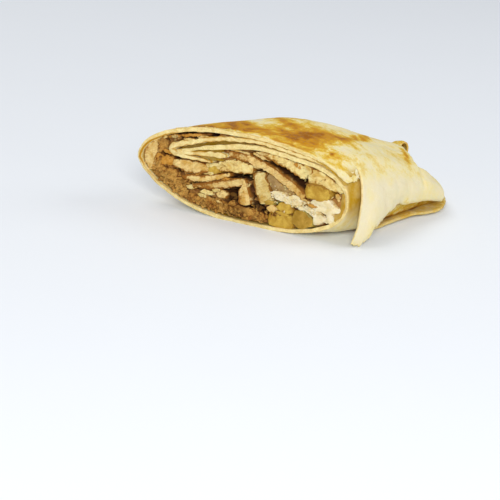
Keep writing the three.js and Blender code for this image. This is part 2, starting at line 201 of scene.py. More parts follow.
@dataclass(frozen=True)
class Roll:
    """Form of the roll, and how a place on its section is carried along it."""

    width: float = 77.0
    height: float = 42.0
    tip_height: float = 22.0
    mid_height: float = 21.0
    cut_angle: float = math.radians(48.0)
    tip_x: float = -73.2
    back_y: float = 40.4
    base_sink: float = 0.35
    tail_run: float = 145.5
    step_run: float = 137.0
    closed_run: float = 120.0

    @property
    def cut_length(self) -> float:
        """Length of the slanted cut."""
        return self.width / math.sin(self.cut_angle)

    @property
    def front_y(self) -> float:
        """Y of the short side at the cut."""
        return self.back_y - self.width

    @property
    def short_x(self) -> float:
        """X where the short side meets the cut."""
        return self.tip_x + self.cut_length * math.cos(self.cut_angle)

    @property
    def tail_x(self) -> float:
        """X of the far edge of the tail."""
        return self.tip_x + self.tail_run

    @property
    def closed_x(self) -> float:
        """X from where the roll is folded shut."""
        return self.tip_x + self.closed_run

    def cut_x(self, s: Array) -> Array:
        """X of the cut at the distance s along it."""
        return self.tip_x + s * math.cos(self.cut_angle)

    def back(self, x: Array) -> Array:
        """Y of the long side: straight, then two smooth steps inwards."""
        v = x - self.tip_x
        return self.back_y - 3.0 * ease(72, 132, v) - 6.0 * ease(130, 150, v)

    def front(self, x: Array) -> Array:
        """Y of the short side: it runs in by 34 t ** 1.15 from the cut to the tail."""
        t = np.clip((x - self.short_x) / (self.tail_x - self.short_x), 0.0, 1.1)
        return self.front_y + 34.0 * t**1.15

    def step(self, u: Array) -> Array:
        """X where the thick part ends: straight on the long side, then slanting back."""
        return self.tip_x + self.step_run - 8.5 * (np.clip(u, -0.42, 1.0) + 0.85)

    def crown(self, x: Array, u: Array) -> Array:
        """Share of the full height left at x: smooth steps of the long and the short side, mixed by u.

        Args:
            x: Place along the roll.
            u: Place across it, -1 on the long side and 1 on the short side.

        Returns:
            The share.
        """
        v = x - self.tip_x
        f = (1.0 + np.clip(u, -1.0, 1.1)) / 2.0
        step = self.step(u)
        back = 1.0 + 0.06 * ease(2, 46, v) - 0.52 * ease(60, 146, v) - 0.3 * ease(step - 1.3, step + 1.3, x)
        front = 1.0 - 0.48 * ease(66, 142, v) - 0.24 * ease(126, 146, v)
        return back * (1.0 - f) + front * f

    def belly(self, u: Array, power: float) -> Array:
        """Height of the belly on the short side: mid * (1 - sqrt(1 - u ** power))."""
        v = np.clip(u, 0.0, 1.0)
        return self.mid_height * (1.0 - np.sqrt(np.maximum(0.0, 1.0 - v**power)))

    def place(self, s: Array, z: Array, x: Array) -> Array:
        """Carries the section's places to stations along the roll.

        y runs from the long to the short side as s goes from 0 to the cut's length; the belly gets
        squarer towards the tail, and the height is scaled by the crown.

        Args:
            s: Distance along the cut.
            z: Height on it.
            x: Station.

        Returns:
            Points with x, y, z last.
        """
        s, z, x = np.broadcast_arrays(np.asarray(s, float), np.asarray(z, float), np.asarray(x, float))
        u = 2.0 * s / self.cut_length - 1.0
        back, front = self.back(x), self.front(x)
        y = (back + front) / 2.0 - u * (back - front) / 2.0
        round_belly = self.belly(u, 3.2)
        reach = np.minimum(1.0, (self.mid_height - z) / np.maximum(0.5, self.mid_height - round_belly))
        drop = ease(self.tip_x + 56, self.tip_x + 98, x) * (round_belly - self.belly(u, 8.0)) * reach
        h = z - np.where((u > 0) & (u < 1) & (z < self.mid_height), drop, 0.0)
        return np.stack([x, y, np.maximum(0.0, h - self.base_sink) * self.crown(x, u)], axis=-1)

    def outline(self, a: Array, inset: Array) -> Array:
        """Outline of the section: superellipse arcs of powers 2.6, 3.2 and 2.2 on its four quarters.

        Args:
            a: Angle, 0 on the short side, a quarter turn at the crest, half a turn on the long side.
            inset: How far inside the outline the point lies.

        Returns:
            Rows of s and z.
        """
        a, inset = np.broadcast_arrays(np.asarray(a, float), np.asarray(inset, float))
        u, up = np.cos(a), np.sin(a) >= 0
        w = np.minimum(np.abs(u), 1.0)
        arc = np.sqrt(1.0 - w**2.6)
        low_right = np.sqrt(1.0 - w**3.2)
        low_left = (1.0 - w**2.2) ** 0.75
        right = u >= 0
        mid = np.where(right, self.mid_height, self.tip_height)
        left_half = np.where(up, self.height - self.tip_height, self.tip_height)
        half = np.where(right, self.mid_height, left_half)
        shape = np.where(up, arc, np.where(right, low_right, low_left))
        s = self.cut_length / 2 + (self.cut_length / 2 - inset) * u
        return np.stack([s, mid + np.where(up, 1.0, -1.0) * (half - inset) * shape], axis=-1)


ROLL = Roll()


# ---------------------------------------------------------------- meshes


def new_object(name: str, data: bpy.types.ID) -> Piece:
    """Puts a mesh, camera or light into the scene.

    Args:
        name: The object's name.
        data: What it shows.

    Returns:
        The object.
    """
    obj = bpy.data.objects.new(name, data)
    bpy.context.scene.collection.objects.link(obj)
    return obj


def make_piece(name: str, points: Array, quads: Array, marks: dict[Mark, Array]) -> Piece:
    """Makes a smooth closed mesh object at the origin.

    Args:
        name: The piece's name.
        points: Vertices in the roll's millimetres.
        quads: Four vertex numbers a face.
        marks: Values for the material, one a vertex.

    Returns:
        The object.
    """
    mesh = bpy.data.meshes.new(name)
    flat = (points.reshape(-1, 3) + CENTRING) * MM
    mesh.vertices.add(len(flat))
    mesh.vertices.foreach_set("co", flat.ravel().astype(np.float32))
    mesh.loops.add(quads.size)
    mesh.loops.foreach_set("vertex_index", quads.ravel().astype(np.int32))
    mesh.polygons.add(len(quads))
    mesh.polygons.foreach_set("loop_start", np.arange(0, quads.size, 4, dtype=np.int32))
    for mark, values in marks.items():
        layer = mesh.attributes.new(mark.value, "FLOAT", "POINT")
        layer.data.foreach_set("value", np.asarray(values, np.float32).ravel())
    mesh.update(calc_edges=True)
    made = bmesh.new()
    made.from_mesh(mesh)
    bmesh.ops.remove_doubles(made, verts=made.verts, dist=MERGE)
    bmesh.ops.dissolve_degenerate(made, edges=made.edges, dist=SLIVER)
    bmesh.ops.recalc_face_normals(made, faces=made.faces)
    made.to_mesh(mesh)
    made.free()
    mesh.shade_smooth()
    return new_object(name, mesh)


def ring_quads(rings: int, around: int) -> Array:
    """Faces between closed rings of vertices.

    Args:
        rings: How many rings there are.
        around: How many vertices each has.

    Returns:
        Four vertex numbers a face.
    """
    k, i = np.meshgrid(np.arange(rings - 1), np.arange(around), indexing="ij")
    j = (i + 1) % around
    near, far = k * around, (k + 1) * around
    return np.stack([near + i, near + j, far + j, far + i], -1).reshape(-1, 4)


def ring_piece(name: str, rings: Array, marks: dict[Mark, Array]) -> Piece:
    """Mesh object through closed rings of points, whose first and last ring shrink to its middle."""
    spread = {mark: np.broadcast_to(v, rings.shape[:2]) for mark, v in marks.items()}
    return make_piece(name, rings, ring_quads(*rings.shape[:2]), spread)


def sheet_quads(columns: int, rows: int) -> Array:
    """Faces of a grid of vertices that is counted column by column, four vertex numbers a face."""
    a = (np.arange(columns - 1)[:, None] * rows + np.arange(rows - 1)).ravel()
    return np.stack([a, a + 1, a + rows + 1, a + rows], -1)


def copied_quads(quads: Array, copies: int, size: int) -> Array:
    """Faces of many copies of a mesh of ``size`` vertices, four vertex numbers a face."""
    return (quads + (np.arange(copies) * size)[:, None, None]).reshape(-1, 4)


def sheet_normals(sheet: Array) -> Array:
    """Unit normals on a grid of points: the cross product of the differences along its two ways."""
    return unit(np.cross(np.gradient(sheet, axis=0), np.gradient(sheet, axis=1)))


def ring_normals(rings: Array) -> Array:
    """Unit normals on a grid of closed rings: the cross product of the two central differences.

    Args:
        rings: Points by ring and by place on it.

    Returns:
        One normal for each point, outwards where rings run counterclockwise seen from their start.
    """
    along = np.gradient(rings, axis=0)
    around = np.roll(rings, -1, axis=1) - np.roll(rings, 1, axis=1)
    return unit(np.cross(along, around))


def strip(line: Array, scale: Array, ripple: float = 0.0, phase: float = 0.0, blunt: float = 1.0) -> Array:
    """Closed outlines round a line: each point is set off by half its thickness to both sides.

    Within ``blunt`` times half a thickness of the ends the offset shrinks to 0.3 of that, as
    0.3 + 0.7 * sqrt(1 - (1 - share) ** 2.6).

    Args:
        line: Rows of s, z and thickness.
        scale: One factor of thickness a ring.
        ripple: Share by which the thickness waves.
        phase: Shifts the wave.
        blunt: How long the rounding of the ends is.

    Returns:
        Rings of s and z.
    """
    step = unit(np.gradient(line[:, :2], axis=0))
    run = run_along(line[:, :2])
    half = line[:, 2] / 2
    end = np.clip(np.minimum(run, run[-1] - run) / (half * blunt), 0.0, 1.0)
    rounded = 0.3 + 0.7 * (1.0 - (1.0 - end) ** 2.6) ** 0.5
    wave = 1.0 - ripple * (0.5 + 0.5 * np.sin(run * 1.3 + phase))
    r = (half * rounded * wave)[None, :, None] * np.atleast_1d(scale)[:, None, None]
    across = np.stack([step[:, 1], -step[:, 0]], -1)[None]
    middle = line[None, :, :2]
    return np.concatenate([middle + across * r, (middle - across * r)[:, ::-1]], axis=1)


# ---------------------------------------------------------------- shader groups and finishes


def colour(code: str) -> tuple[float, float, float, float]:
    """Linear colour from six hexadecimal digits.

    Args:
        code: The digits.

    Returns:
        Red, green, blue and an alpha of 1.
    """
    parts = [int(code[k : k + 2], 16) / 255 for k in (0, 2, 4)]
    lin = [c / 12.92 if c <= 0.04045 else ((c + 0.055) / 1.055) ** 2.4 for c in parts]
    return (lin[0], lin[1], lin[2], 1.0)


class Graph:
    """Adds nodes to a node tree and joins them."""

    def __init__(self, tree: Tree) -> None:
        """Keeps the tree to build in."""
        self.tree = tree

    def node(self, kind: str, inputs: dict | None = None, **settings: object) -> bpy.types.Node:
        """Adds a node.

        Args:
            kind: Blender's name of the node.
            inputs: Socket name or number to a value or to the socket that feeds it.
            settings: Properties of the node.

        Returns:
            The node.
        """
        made = self.tree.nodes.new(kind)
        for key, value in settings.items():
            setattr(made, key, value)
        for key, value in (inputs or {}).items():
            self.join(made.inputs[key], value)
        return made

    def join(self, socket: Socket, value: object) -> None:
        """Gives a socket what it is fed with.

        Args:
            socket: The input socket.
            value: The socket that feeds it, a colour's six digits, or a plain value.
        """
        if isinstance(value, Socket):
            self.tree.links.new(value, socket)
        else:
            socket.default_value = colour(value) if isinstance(value, str) else value

    def math(self, what: str, a: object, b: object = 0.0, clamp: bool = False) -> Socket:
        """Result of the sum that Blender calls ``what``, of two numbers or sockets."""
        return self.node("ShaderNodeMath", {0: a, 1: b}, operation=what, use_clamp=clamp).outputs[0]

    def plus(self, a: object, b: object, clamp: bool = False) -> Socket:
        """The two added."""
        return self.math("ADD", a, b, clamp)

    def minus(self, a: object, b: object, clamp: bool = False) -> Socket:
        """The second taken from the first."""
        return self.math("SUBTRACT", a, b, clamp)

    def times(self, a: object, b: object, clamp: bool = False) -> Socket:
        """The two multiplied."""
        return self.math("MULTIPLY", a, b, clamp)

    def swing(self, value: Socket, width: float) -> Socket:
        """A value of 0 to 1 made to swing round 0: (value - 0.5) * width."""
        return self.times(self.minus(value, 0.5), width)

    def mix(self, share: object, a: object, b: object) -> Socket:
        """Mix of two colours or sockets; the share is the second one's."""
        inputs = {0: share, 6: a, 7: b}
        return self.node("ShaderNodeMix", inputs, data_type="RGBA", clamp_factor=True).outputs[2]

    def noise(
        self, place: object, scale: object, detail: float, rough: float = 0.5, warp: float = 0.0
    ) -> Socket:
        """Noise of 0 to 1: cells a millimetre, octaves, height of each beside the last, and its warp."""
        inputs = {"Vector": place, "Scale": scale, "Detail": detail, "Roughness": rough, "Distortion": warp}
        return self.node("ShaderNodeTexNoise", inputs).outputs["Fac"]

    def ramp(self, fac: Socket, stops: Sequence[tuple[float, str]]) -> Socket:
        """Colour ramp.

        Args:
            fac: Where it is read.
            stops: Places and colours.

        Returns:
            The colour socket.
        """
        made = self.node("ShaderNodeValToRGB", {0: fac})
        bar = made.color_ramp.elements
        while len(bar) > 1:
            bar.remove(bar[0])
        bar[0].position, bar[0].color = stops[0][0], colour(stops[0][1])
        for at, code in stops[1:]:
            bar.new(at).color = colour(code)
        return made.outputs[0]

    def mark(self, mark: Mark) -> Socket:
        """Number that the mesh hands over under this name."""
        return self.node("ShaderNodeAttribute", attribute_name=mark.value).outputs["Fac"]

    def span(self, value: Socket, low: object, high: object) -> Socket:
        """0 below low, 1 above high and a smooth step between them."""
        inputs = {"Value": value, "From Min": low, "From Max": high}
        return self.node("ShaderNodeMapRange", inputs, interpolation_type="SMOOTHSTEP").outputs["Result"]

    def put_out(self, **sockets: Socket) -> Tree:
        """Gives a node group its outputs.

        Args:
            sockets: What each output hands over, by its name.

        Returns:
            The finished group.
        """
        for name in sockets:
            self.tree.interface.new_socket(name, in_out="OUTPUT", socket_type="NodeSocketFloat")
        self.node("NodeGroupOutput", sockets)
        return self.tree


def new_group(name: str, inputs: dict[str, float]) -> tuple[Graph, dict[str, Socket]]:
    """Starts a shader node group that takes a place in millimetres and named numbers.

    Args:
        name: Its name.
        inputs: Named numbers and their first values.

    Returns:
        The graph inside it and its input sockets by name.
    """
    tree = bpy.data.node_groups.new(name, "ShaderNodeTree")
    tree.interface.new_socket("Place", in_out="INPUT", socket_type="NodeSocketVector")
    for key, value in inputs.items():
        tree.interface.new_socket(key, in_out="INPUT", socket_type="NodeSocketFloat").default_value = value
    graph = Graph(tree)
    return graph, {o.name: o for o in graph.node("NodeGroupInput").outputs if o.name}


@dataclass(frozen=True)
class Effects:
    """The shader groups that several finishes share."""

    mottle: Tree
    crust: Tree
    fibre: Tree

    @classmethod
    def build(cls) -> "Effects":
        """Builds the three groups once."""
        return cls(cls.make_mottle(), cls.make_crust(), cls.make_fibre())

    @staticmethod
    def make_mottle() -> Tree:
        """Uneven patches: warped noise of five octaves cut between Low and High.

        Returns:
            The group.
        """
        g, i = new_group("mottle", {"Size": 4.0, "Low": 0.4, "High": 0.6})
        noise = g.noise(i["Place"], g.math("DIVIDE", 1.0, i["Size"]), 5.0, 0.62, 0.5)
        return g.put_out(Patches=g.span(noise, i["Low"], i["High"]))

    @staticmethod
    def make_crust() -> Tree:
        """Skin of baked dough: round blisters, flour grain and fine wrinkles, as heights of 0 to 1.

        Returns:
            The group.
        """
        g, i = new_group("crust", {"Blister": 3.2, "Grain": 0.45})
        spots = {"Vector": i["Place"], "Scale": g.math("DIVIDE", 1.0, i["Blister"]), "Randomness": 1.0}
        cells = g.node("ShaderNodeTexVoronoi", spots, feature="SMOOTH_F1")
        blister = g.minus(1.0, g.span(cells.outputs["Distance"], 0.05, 0.75))
        grain = g.noise(i["Place"], g.math("DIVIDE", 1.0, i["Grain"]), 4.0, 0.65)
        lump = g.noise(i["Place"], 0.55, 3.0)
        flour = g.times(g.span(grain, 0.5, 0.72), g.span(lump, 0.4, 0.62))
        height = g.plus(g.plus(g.times(blister, 0.5), g.times(grain, 0.3)), g.times(lump, 0.5))
        return g.put_out(Blisters=blister, Flour=flour, Height=height)

    @staticmethod
    def make_fibre() -> Tree:
        """Grain of cooked meat: noise stretched along one way by Stretch, with crumbs across it.

        Returns:
            The group.
        """
        g, i = new_group("fibre", {"Size": 0.7, "Stretch": 5.0})
        thin = g.math("DIVIDE", 1.0, i["Stretch"])
        squeeze = g.node("ShaderNodeCombineXYZ", {"X": thin, "Y": 1.0, "Z": 1.0}).outputs[0]
        lean = {"Vector": i["Place"], "Rotation": (0.3, 0.35, 0.85)}
        turned = g.node("ShaderNodeMapping", lean).outputs[0]
        stretched = g.node("ShaderNodeVectorMath", {0: turned, 1: squeeze}, operation="MULTIPLY").outputs[0]
        scale = g.math("DIVIDE", 1.0, i["Size"])
        strand = g.noise(stretched, scale, 4.0, 0.6, 0.6)
        crumb = g.noise(i["Place"], g.times(scale, 1.3), 5.0, 0.7)
        height = g.plus(g.times(strand, 0.6), g.times(crumb, 0.5))
        return g.put_out(Strands=strand, Crumbs=crumb, Height=height)


class Finish(Graph):
    """The graph of a material with a Principled shader, which reads places in millimetres."""

    def __init__(self, name: str) -> None:
        """Makes the material and its graph.

        Args:
            name: The material's name.
        """
        self.material = bpy.data.materials.new(name)
        self.material.use_nodes = True
        super().__init__(self.material.node_tree)
        self.shader = self.tree.nodes["Principled BSDF"]
        place = self.node("ShaderNodeTexCoord").outputs["Object"]
        scaled = self.node("ShaderNodeVectorMath", {0: place, "Scale": 1 / MM}, operation="SCALE")
        self.place = scaled.outputs[0]

    def effect(self, group: Tree, **values: float) -> bpy.types.Node:
        """Places a shared group with its numbers by socket name, reading places in millimetres."""
        return self.node("ShaderNodeGroup", {"Place": self.place, **values}, node_tree=group)

    def feed(self, **sockets: object) -> None:
        """Sets or links the shader's inputs, with underscores for the spaces of their names."""
        for key, value in sockets.items():
            self.join(self.shader.inputs[key.replace("_", " ")], value)

    def soften(self, weight: float, radius: Row, depth: float) -> None:
        """Lets light in: how much, how far each colour travels, and the depth in millimetres."""
        self.feed(Subsurface_Weight=weight, Subsurface_Radius=radius, Subsurface_Scale=depth * MM)

    def bump(self, height: Socket, depth: float, strength: float = 1.0) -> None:
        """Bends the normal by a height of 0 to 1, where 1 stands for the depth in millimetres."""
        inputs = {"Height": height, "Distance": depth * MM, "Strength": strength}
        self.feed(Normal=self.node("ShaderNodeBump", inputs).outputs["Normal"])


@dataclass(frozen=True)
class BreadFinish:
    """Toasted flatbread: cream dough, golden to brown patches, floury grain, paler cut edges, and painted
    shade in its gaps.
    """

    dough: str = "e1d8c0"
    shade: str = "e5d69c"
    gold: str = "d8b43c"
    orange: str = "c68f1c"
    brown: str = "b2740a"
    char: str = "965a0a"
    edge: str = "f2e0a2"
    edge_shade: str = "c49e46"
    edge_gold: str = "bc8826"
    moist: str = "b48914"
    # Painted shade: dark brown laid on sheets in the gaps between the turns and inside the roll.
    gap: str = "40290a"
    flour: str = "f6efd6"

    def build(self, effects: Effects) -> Material:
        """Builds the material.

        Args:
            effects: The shared groups.

        Returns:
            The material.
        """
        g = Finish("toasted_flatbread")
        crust = g.effect(effects.crust, Blister=3.4, Grain=0.5)
        broad = g.effect(effects.mottle, Size=7.5, Low=0.35, High=0.65)
        medium = g.effect(effects.mottle, Size=3.2, Low=0.36, High=0.66)
        fine = g.effect(effects.mottle, Size=1.3, Low=0.38, High=0.66)
        toast = g.mark(Mark.TOAST)
        uneven = g.plus(g.swing(broad.outputs[0], 0.32), g.swing(fine.outputs[0], 0.2))
        raised = g.times(g.minus(crust.outputs["Blisters"], 0.4), 0.16)
        heat = g.times(g.plus(uneven, raised), g.span(toast, 0.0, 0.45))
        level = g.plus(toast, heat, clamp=True)
        tones = (self.dough, self.shade, self.gold, self.orange, self.brown, self.char)
        crumb = g.ramp(level, list(zip((0.0, 0.2, 0.4, 0.6, 0.88, 1.0), tones)))
        dusty = g.times(crust.outputs["Flour"], g.minus(0.5, g.times(level, 0.75), clamp=True))
        crumb = g.mix(dusty, crumb, self.flour)
        crumb = g.mix(g.times(fine.outputs[0], 0.1), crumb, self.shade)
        wet = g.mix(g.times(broad.outputs[0], 0.26), self.moist, self.shade)
        crumb = g.mix(g.mark(Mark.INNER), crumb, wet)
        # Painted shade: the dark gap colour where the mesh marks shade.
        crumb = g.mix(g.mark(Mark.TINT), crumb, self.gap)
        soaked = g.plus(g.times(fine.outputs[0], 0.22), g.times(medium.outputs[0], 0.4))
        edge = g.mix(soaked, self.edge, self.edge_shade)
        edge = g.mix(g.span(toast, 0.2, 0.8), edge, self.edge_gold)
        crumb = g.mix(g.mark(Mark.CUT), crumb, edge)
        rough = g.minus(0.78, g.times(level, 0.16))
        g.feed(Base_Color=crumb, Roughness=rough, Specular_IOR_Level=0.06)
        g.soften(0.14, (1.0, 0.62, 0.3), 1.6)
        g.bump(crust.outputs["Height"], 0.3, 0.8)
        return g.material


@dataclass(frozen=True)
class MeatFinish:
    """Cooked meat: pale heart, browned rim and specks, strands along the slice, a moist gloss, and painted
    shade.
    """

    name: str
    heart: str
    flesh: str
    rim: str
    dark: str
    browning: float = 0.5
    strand: float = 0.8
    stretch: float = 4.0
    gloss: float = 0.46
    depth: float = 0.5

    def build(self, effects: Effects) -> Material:
        """Builds the material.

        Args:
            effects: The shared groups.

        Returns:
            The material.
        """
        g = Finish(self.name)
        fibre = g.effect(effects.fibre, Size=self.strand, Stretch=self.stretch)
        broad = g.effect(effects.mottle, Size=4.4, Low=0.36, High=0.66)
        fine = g.effect(effects.mottle, Size=0.9, Low=0.42, High=0.66)
        body = g.mix(broad.outputs[0], self.heart, self.flesh)
        lines = g.span(fibre.outputs["Strands"], 0.48, 0.72)
        body = g.mix(g.times(lines, 0.52), body, self.rim)
        # Painted shade: the rim colour laid into fine fissures where the crumb noise is low.
        cleft = g.minus(1.0, g.span(fibre.outputs["Crumbs"], 0.3, 0.46))
        body = g.mix(g.times(cleft, 0.32), body, self.rim)
        seared = g.plus(g.mark(Mark.RIM), g.swing(broad.outputs[0], 0.5))
        seared = g.plus(seared, g.swing(fine.outputs[0], 0.2))
        brown = g.times(g.span(seared, 0.42, 1.05), self.browning * 1.7, clamp=True)
        body = g.mix(brown, body, self.rim)
        burnt = g.times(g.span(fibre.outputs["Crumbs"], 0.6, 0.76), self.browning)
        burnt = g.times(burnt, g.span(seared, 0.1, 0.9), clamp=True)
        body = g.mix(burnt, body, self.dark)
        body = g.mix(g.times(g.span(seared, 1.0, 1.6), 0.55), body, self.dark)
        # Painted shade: darker away from the cut and in the hollows, on top of the piece's own tint.
        tint = g.mark(Mark.TINT)
        body = g.mix(g.times(tint, 0.94), body, self.dark)
        rough = g.plus(self.gloss, g.times(fibre.outputs["Crumbs"], 0.2))
        rough = g.plus(rough, g.times(tint, 0.4), clamp=True)
        g.feed(Base_Color=body, Roughness=rough, Specular_IOR_Level=0.2)
        g.soften(0.12, (1.0, 0.6, 0.3), 1.4)
        g.bump(fibre.outputs["Height"], self.depth, 1.0)
        return g.material


@dataclass(frozen=True)
class SmoothFinish:
    """Potato, pickle or sauce: soft patches of two colours, a third on the rim and as painted shade, smooth
    and moist.
    """

    name: str
    light: str
    deep: str
    rim: str
    rough: float = 0.36
    soft: float = 0.25
    grain: float = 0.16
    patch: float = 5.0

    def build(self, effects: Effects) -> Material:
        """Builds the material.

        Args:
            effects: The shared groups.

        Returns:
            The material.
        """
        g = Finish(self.name)
        broad = g.effect(effects.mottle, Size=self.patch, Low=0.3, High=0.7)
        fine = g.effect(effects.mottle, Size=0.8, Low=0.4, High=0.7)
        fibre = g.effect(effects.fibre, Size=1.1, Stretch=1.6)
        body = g.mix(broad.outputs[0], self.light, self.deep)
        body = g.mix(g.times(fine.outputs[0], 0.3), body, self.deep)
        rim = g.plus(g.mark(Mark.RIM), g.swing(fine.outputs[0], 0.4))
        body = g.mix(g.times(g.span(rim, 0.6, 1.1), 0.8), body, self.rim)
        # Painted shade: the rim colour darkens the piece away from the cut, with its own tint.
        body = g.mix(g.times(g.mark(Mark.TINT), 0.7), body, self.rim)
        rough = g.plus(self.rough, g.times(fibre.outputs["Crumbs"], 0.16))
        g.feed(Base_Color=body, Roughness=rough, Specular_IOR_Level=0.3)
        g.soften(self.soft, (1.0, 0.75, 0.4), 2.2)
        g.bump(fibre.outputs["Height"], self.grain, 0.8)
        return g.material


class Palette:
    """Builds each finish once and hands it out."""

    def __init__(self) -> None:
        """Builds the shared groups and every finish."""
        effects = Effects.build()
        self.bread = BreadFinish().build(effects)
        # Packed meat behind the pieces: the cut meat's colours darkened as painted shade.
        shaded = MeatFinish("packed_meat", "bc8844", "8e5a22", "5a300e", "0e0401", 0.6, 0.8, 2.5)
        self.shaded = shaded.build(effects)
        finishes = {
            Kind.PALE: MeatFinish("pale_meat_cut", "efdb96", "d4ae58", "9c681e", "2a1004", 0.8, 0.9, 4.5),
            Kind.ROAST: MeatFinish("roast_meat_cut", "ebce88", "cea04a", "986018", "2a1004", 0.8, 0.8, 5.5),
            Kind.SEARED: MeatFinish(
                "seared_meat_cut", "d49c44", "ba7e1e", "855014", "220b03", 0.65, stretch=3.5
            ),
            Kind.CRUMBLED: MeatFinish(
                "crumbled_meat_cut", "cc9c4c", "b27c30", "824c16", "341806", 0.6, 0.7, 1.6, gloss=0.5
            ),
            Kind.POTATO: SmoothFinish("potato_cut", "d4b248", "a67810", "805404", 0.36, 0.25, 0.12, 4.5),
            Kind.SAUCE: SmoothFinish("garlic_sauce", "f2e6c6", "dfc88c", "b48c40", 0.4, 0.3, 0.14, 3.4),
            Kind.PICKLE: SmoothFinish("pickle_cut", "c8a040", "97710f", "8a8a48", 0.28, 0.35, 0.1, 4.5),
        }
        self.finishes = {kind: finish.build(effects) for kind, finish in finishes.items()}
        # The onion wedge sits recessed between slices: translucent onion, its colours darkened as painted
        # shade.
        onion = SmoothFinish("onion_cut", "b4935c", "785826", "3e2a0e", 0.34, 0.3, 0.1, 8.0)
        self.own = {"onion_wedge": onion.build(effects)}

    def of(self, kind: Kind, node: str = "") -> Material:
        """Material of a kind of filling, or of the one node that has its own."""
        return self.own.get(node, self.finishes[kind])


def settle(obj: Piece, material: Material, slot: str, nodes: Sequence[str] = ()) -> None:
    """Dresses a finished piece, says which slot and nodes it stands for, and lets it ride on the body.

    Args:
        obj: The piece.
        material: Its finish.
        slot: The record's slot.
        nodes: The solids that it replaces.
    """
    obj.data.materials.append(material)
    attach(obj, BODY)
    if nodes:
        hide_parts(*nodes)
    stands_for = list(nodes) or "detail"
    LOG.info("%s: %d faces, slot %s, stands for %s", obj.name, len(obj.data.polygons), slot, stands_for)


# ---------------------------------------------------------------- flatbread


@dataclass(frozen=True)
class Oval:
    """An oval round a centre, its long half-width turned by ``turn`` degrees, and how hot it was."""

    x: float
    y: float
    long: float
    short: float
    turn: float = 0.0
    heat: float = 0.0

    def far(self, dx: Array, dy: Array) -> Array:
        """Square of the distance in half-widths of places at dx and dy from the centre."""
        c, s = math.cos(math.radians(self.turn)), math.sin(math.radians(self.turn))
        return ((dx * c + dy * s) / self.long) ** 2 + ((dy * c - dx * s) / self.short) ** 2


# Toasted patches on the roll seen from above: centre, half-widths, turn and heat.
TOP_PATCHES = tuple(Oval(*row) for row in (
    (-36, 8, 30, 12, -50, 0.24), (-14, -4, 24, 12, -30, 0.18), (-6.5, -4.5, 12.5, 5.6, -4, 0.36),
    (2.5, -4, 7.5, 6, 0, 0.26), (-14, -12.5, 8, 3, -38, 0.3), (-18.5, 0.5, 4.5, 1.5, 110, 0.5),
    (-29, 5, 4, 1.2, 150, 0.36), (-11, 13, 12, 2.8, 88, 0.45), (-36.5, 17, 9, 3.4, 84, 0.45),
    (-30, 19, 10, 2.2, 84, 0.34), (-57, 26, 7, 3, -45, 0.36), (-47, 17, 8, 3.4, -45, 0.34),
    (8, -7, 7.5, 2.6, 30, 0.34), (20, 1, 9, 2.2, 42, 0.48), (31.5, 12, 9.5, 1.8, 54, 0.38),
    (0, 18, 9, 6, 60, 0.2), (0, -17.5, 7, 2.8, -8, -0.16), (-21.5, 19, 8, 3.4, 80, -0.3),
    (-6.6, -23.2, 1.2, 0.8, 20, 0.85), (-8, -18.5, 4, 1.1, 80, 0.22), (-27, -9, 2.6, 0.8, -48, 0.5),
    (-22.5, -13, 2, 0.7, -48, 0.4), (50, 6, 13, 1.2, 66, 0.4), (44, 2, 9, 5, 50, 0.08),
    (-6, -25, 10, 2.6, -40, 0.06), (-50, 22, 9, 5, -45, 0.12), (-31, 0, 7, 0.5, -47, 0.3),
    (-20, -6.5, 6, 0.45, -42, 0.3), (-12, -1, 5.5, 0.5, -34, 0.28),
))


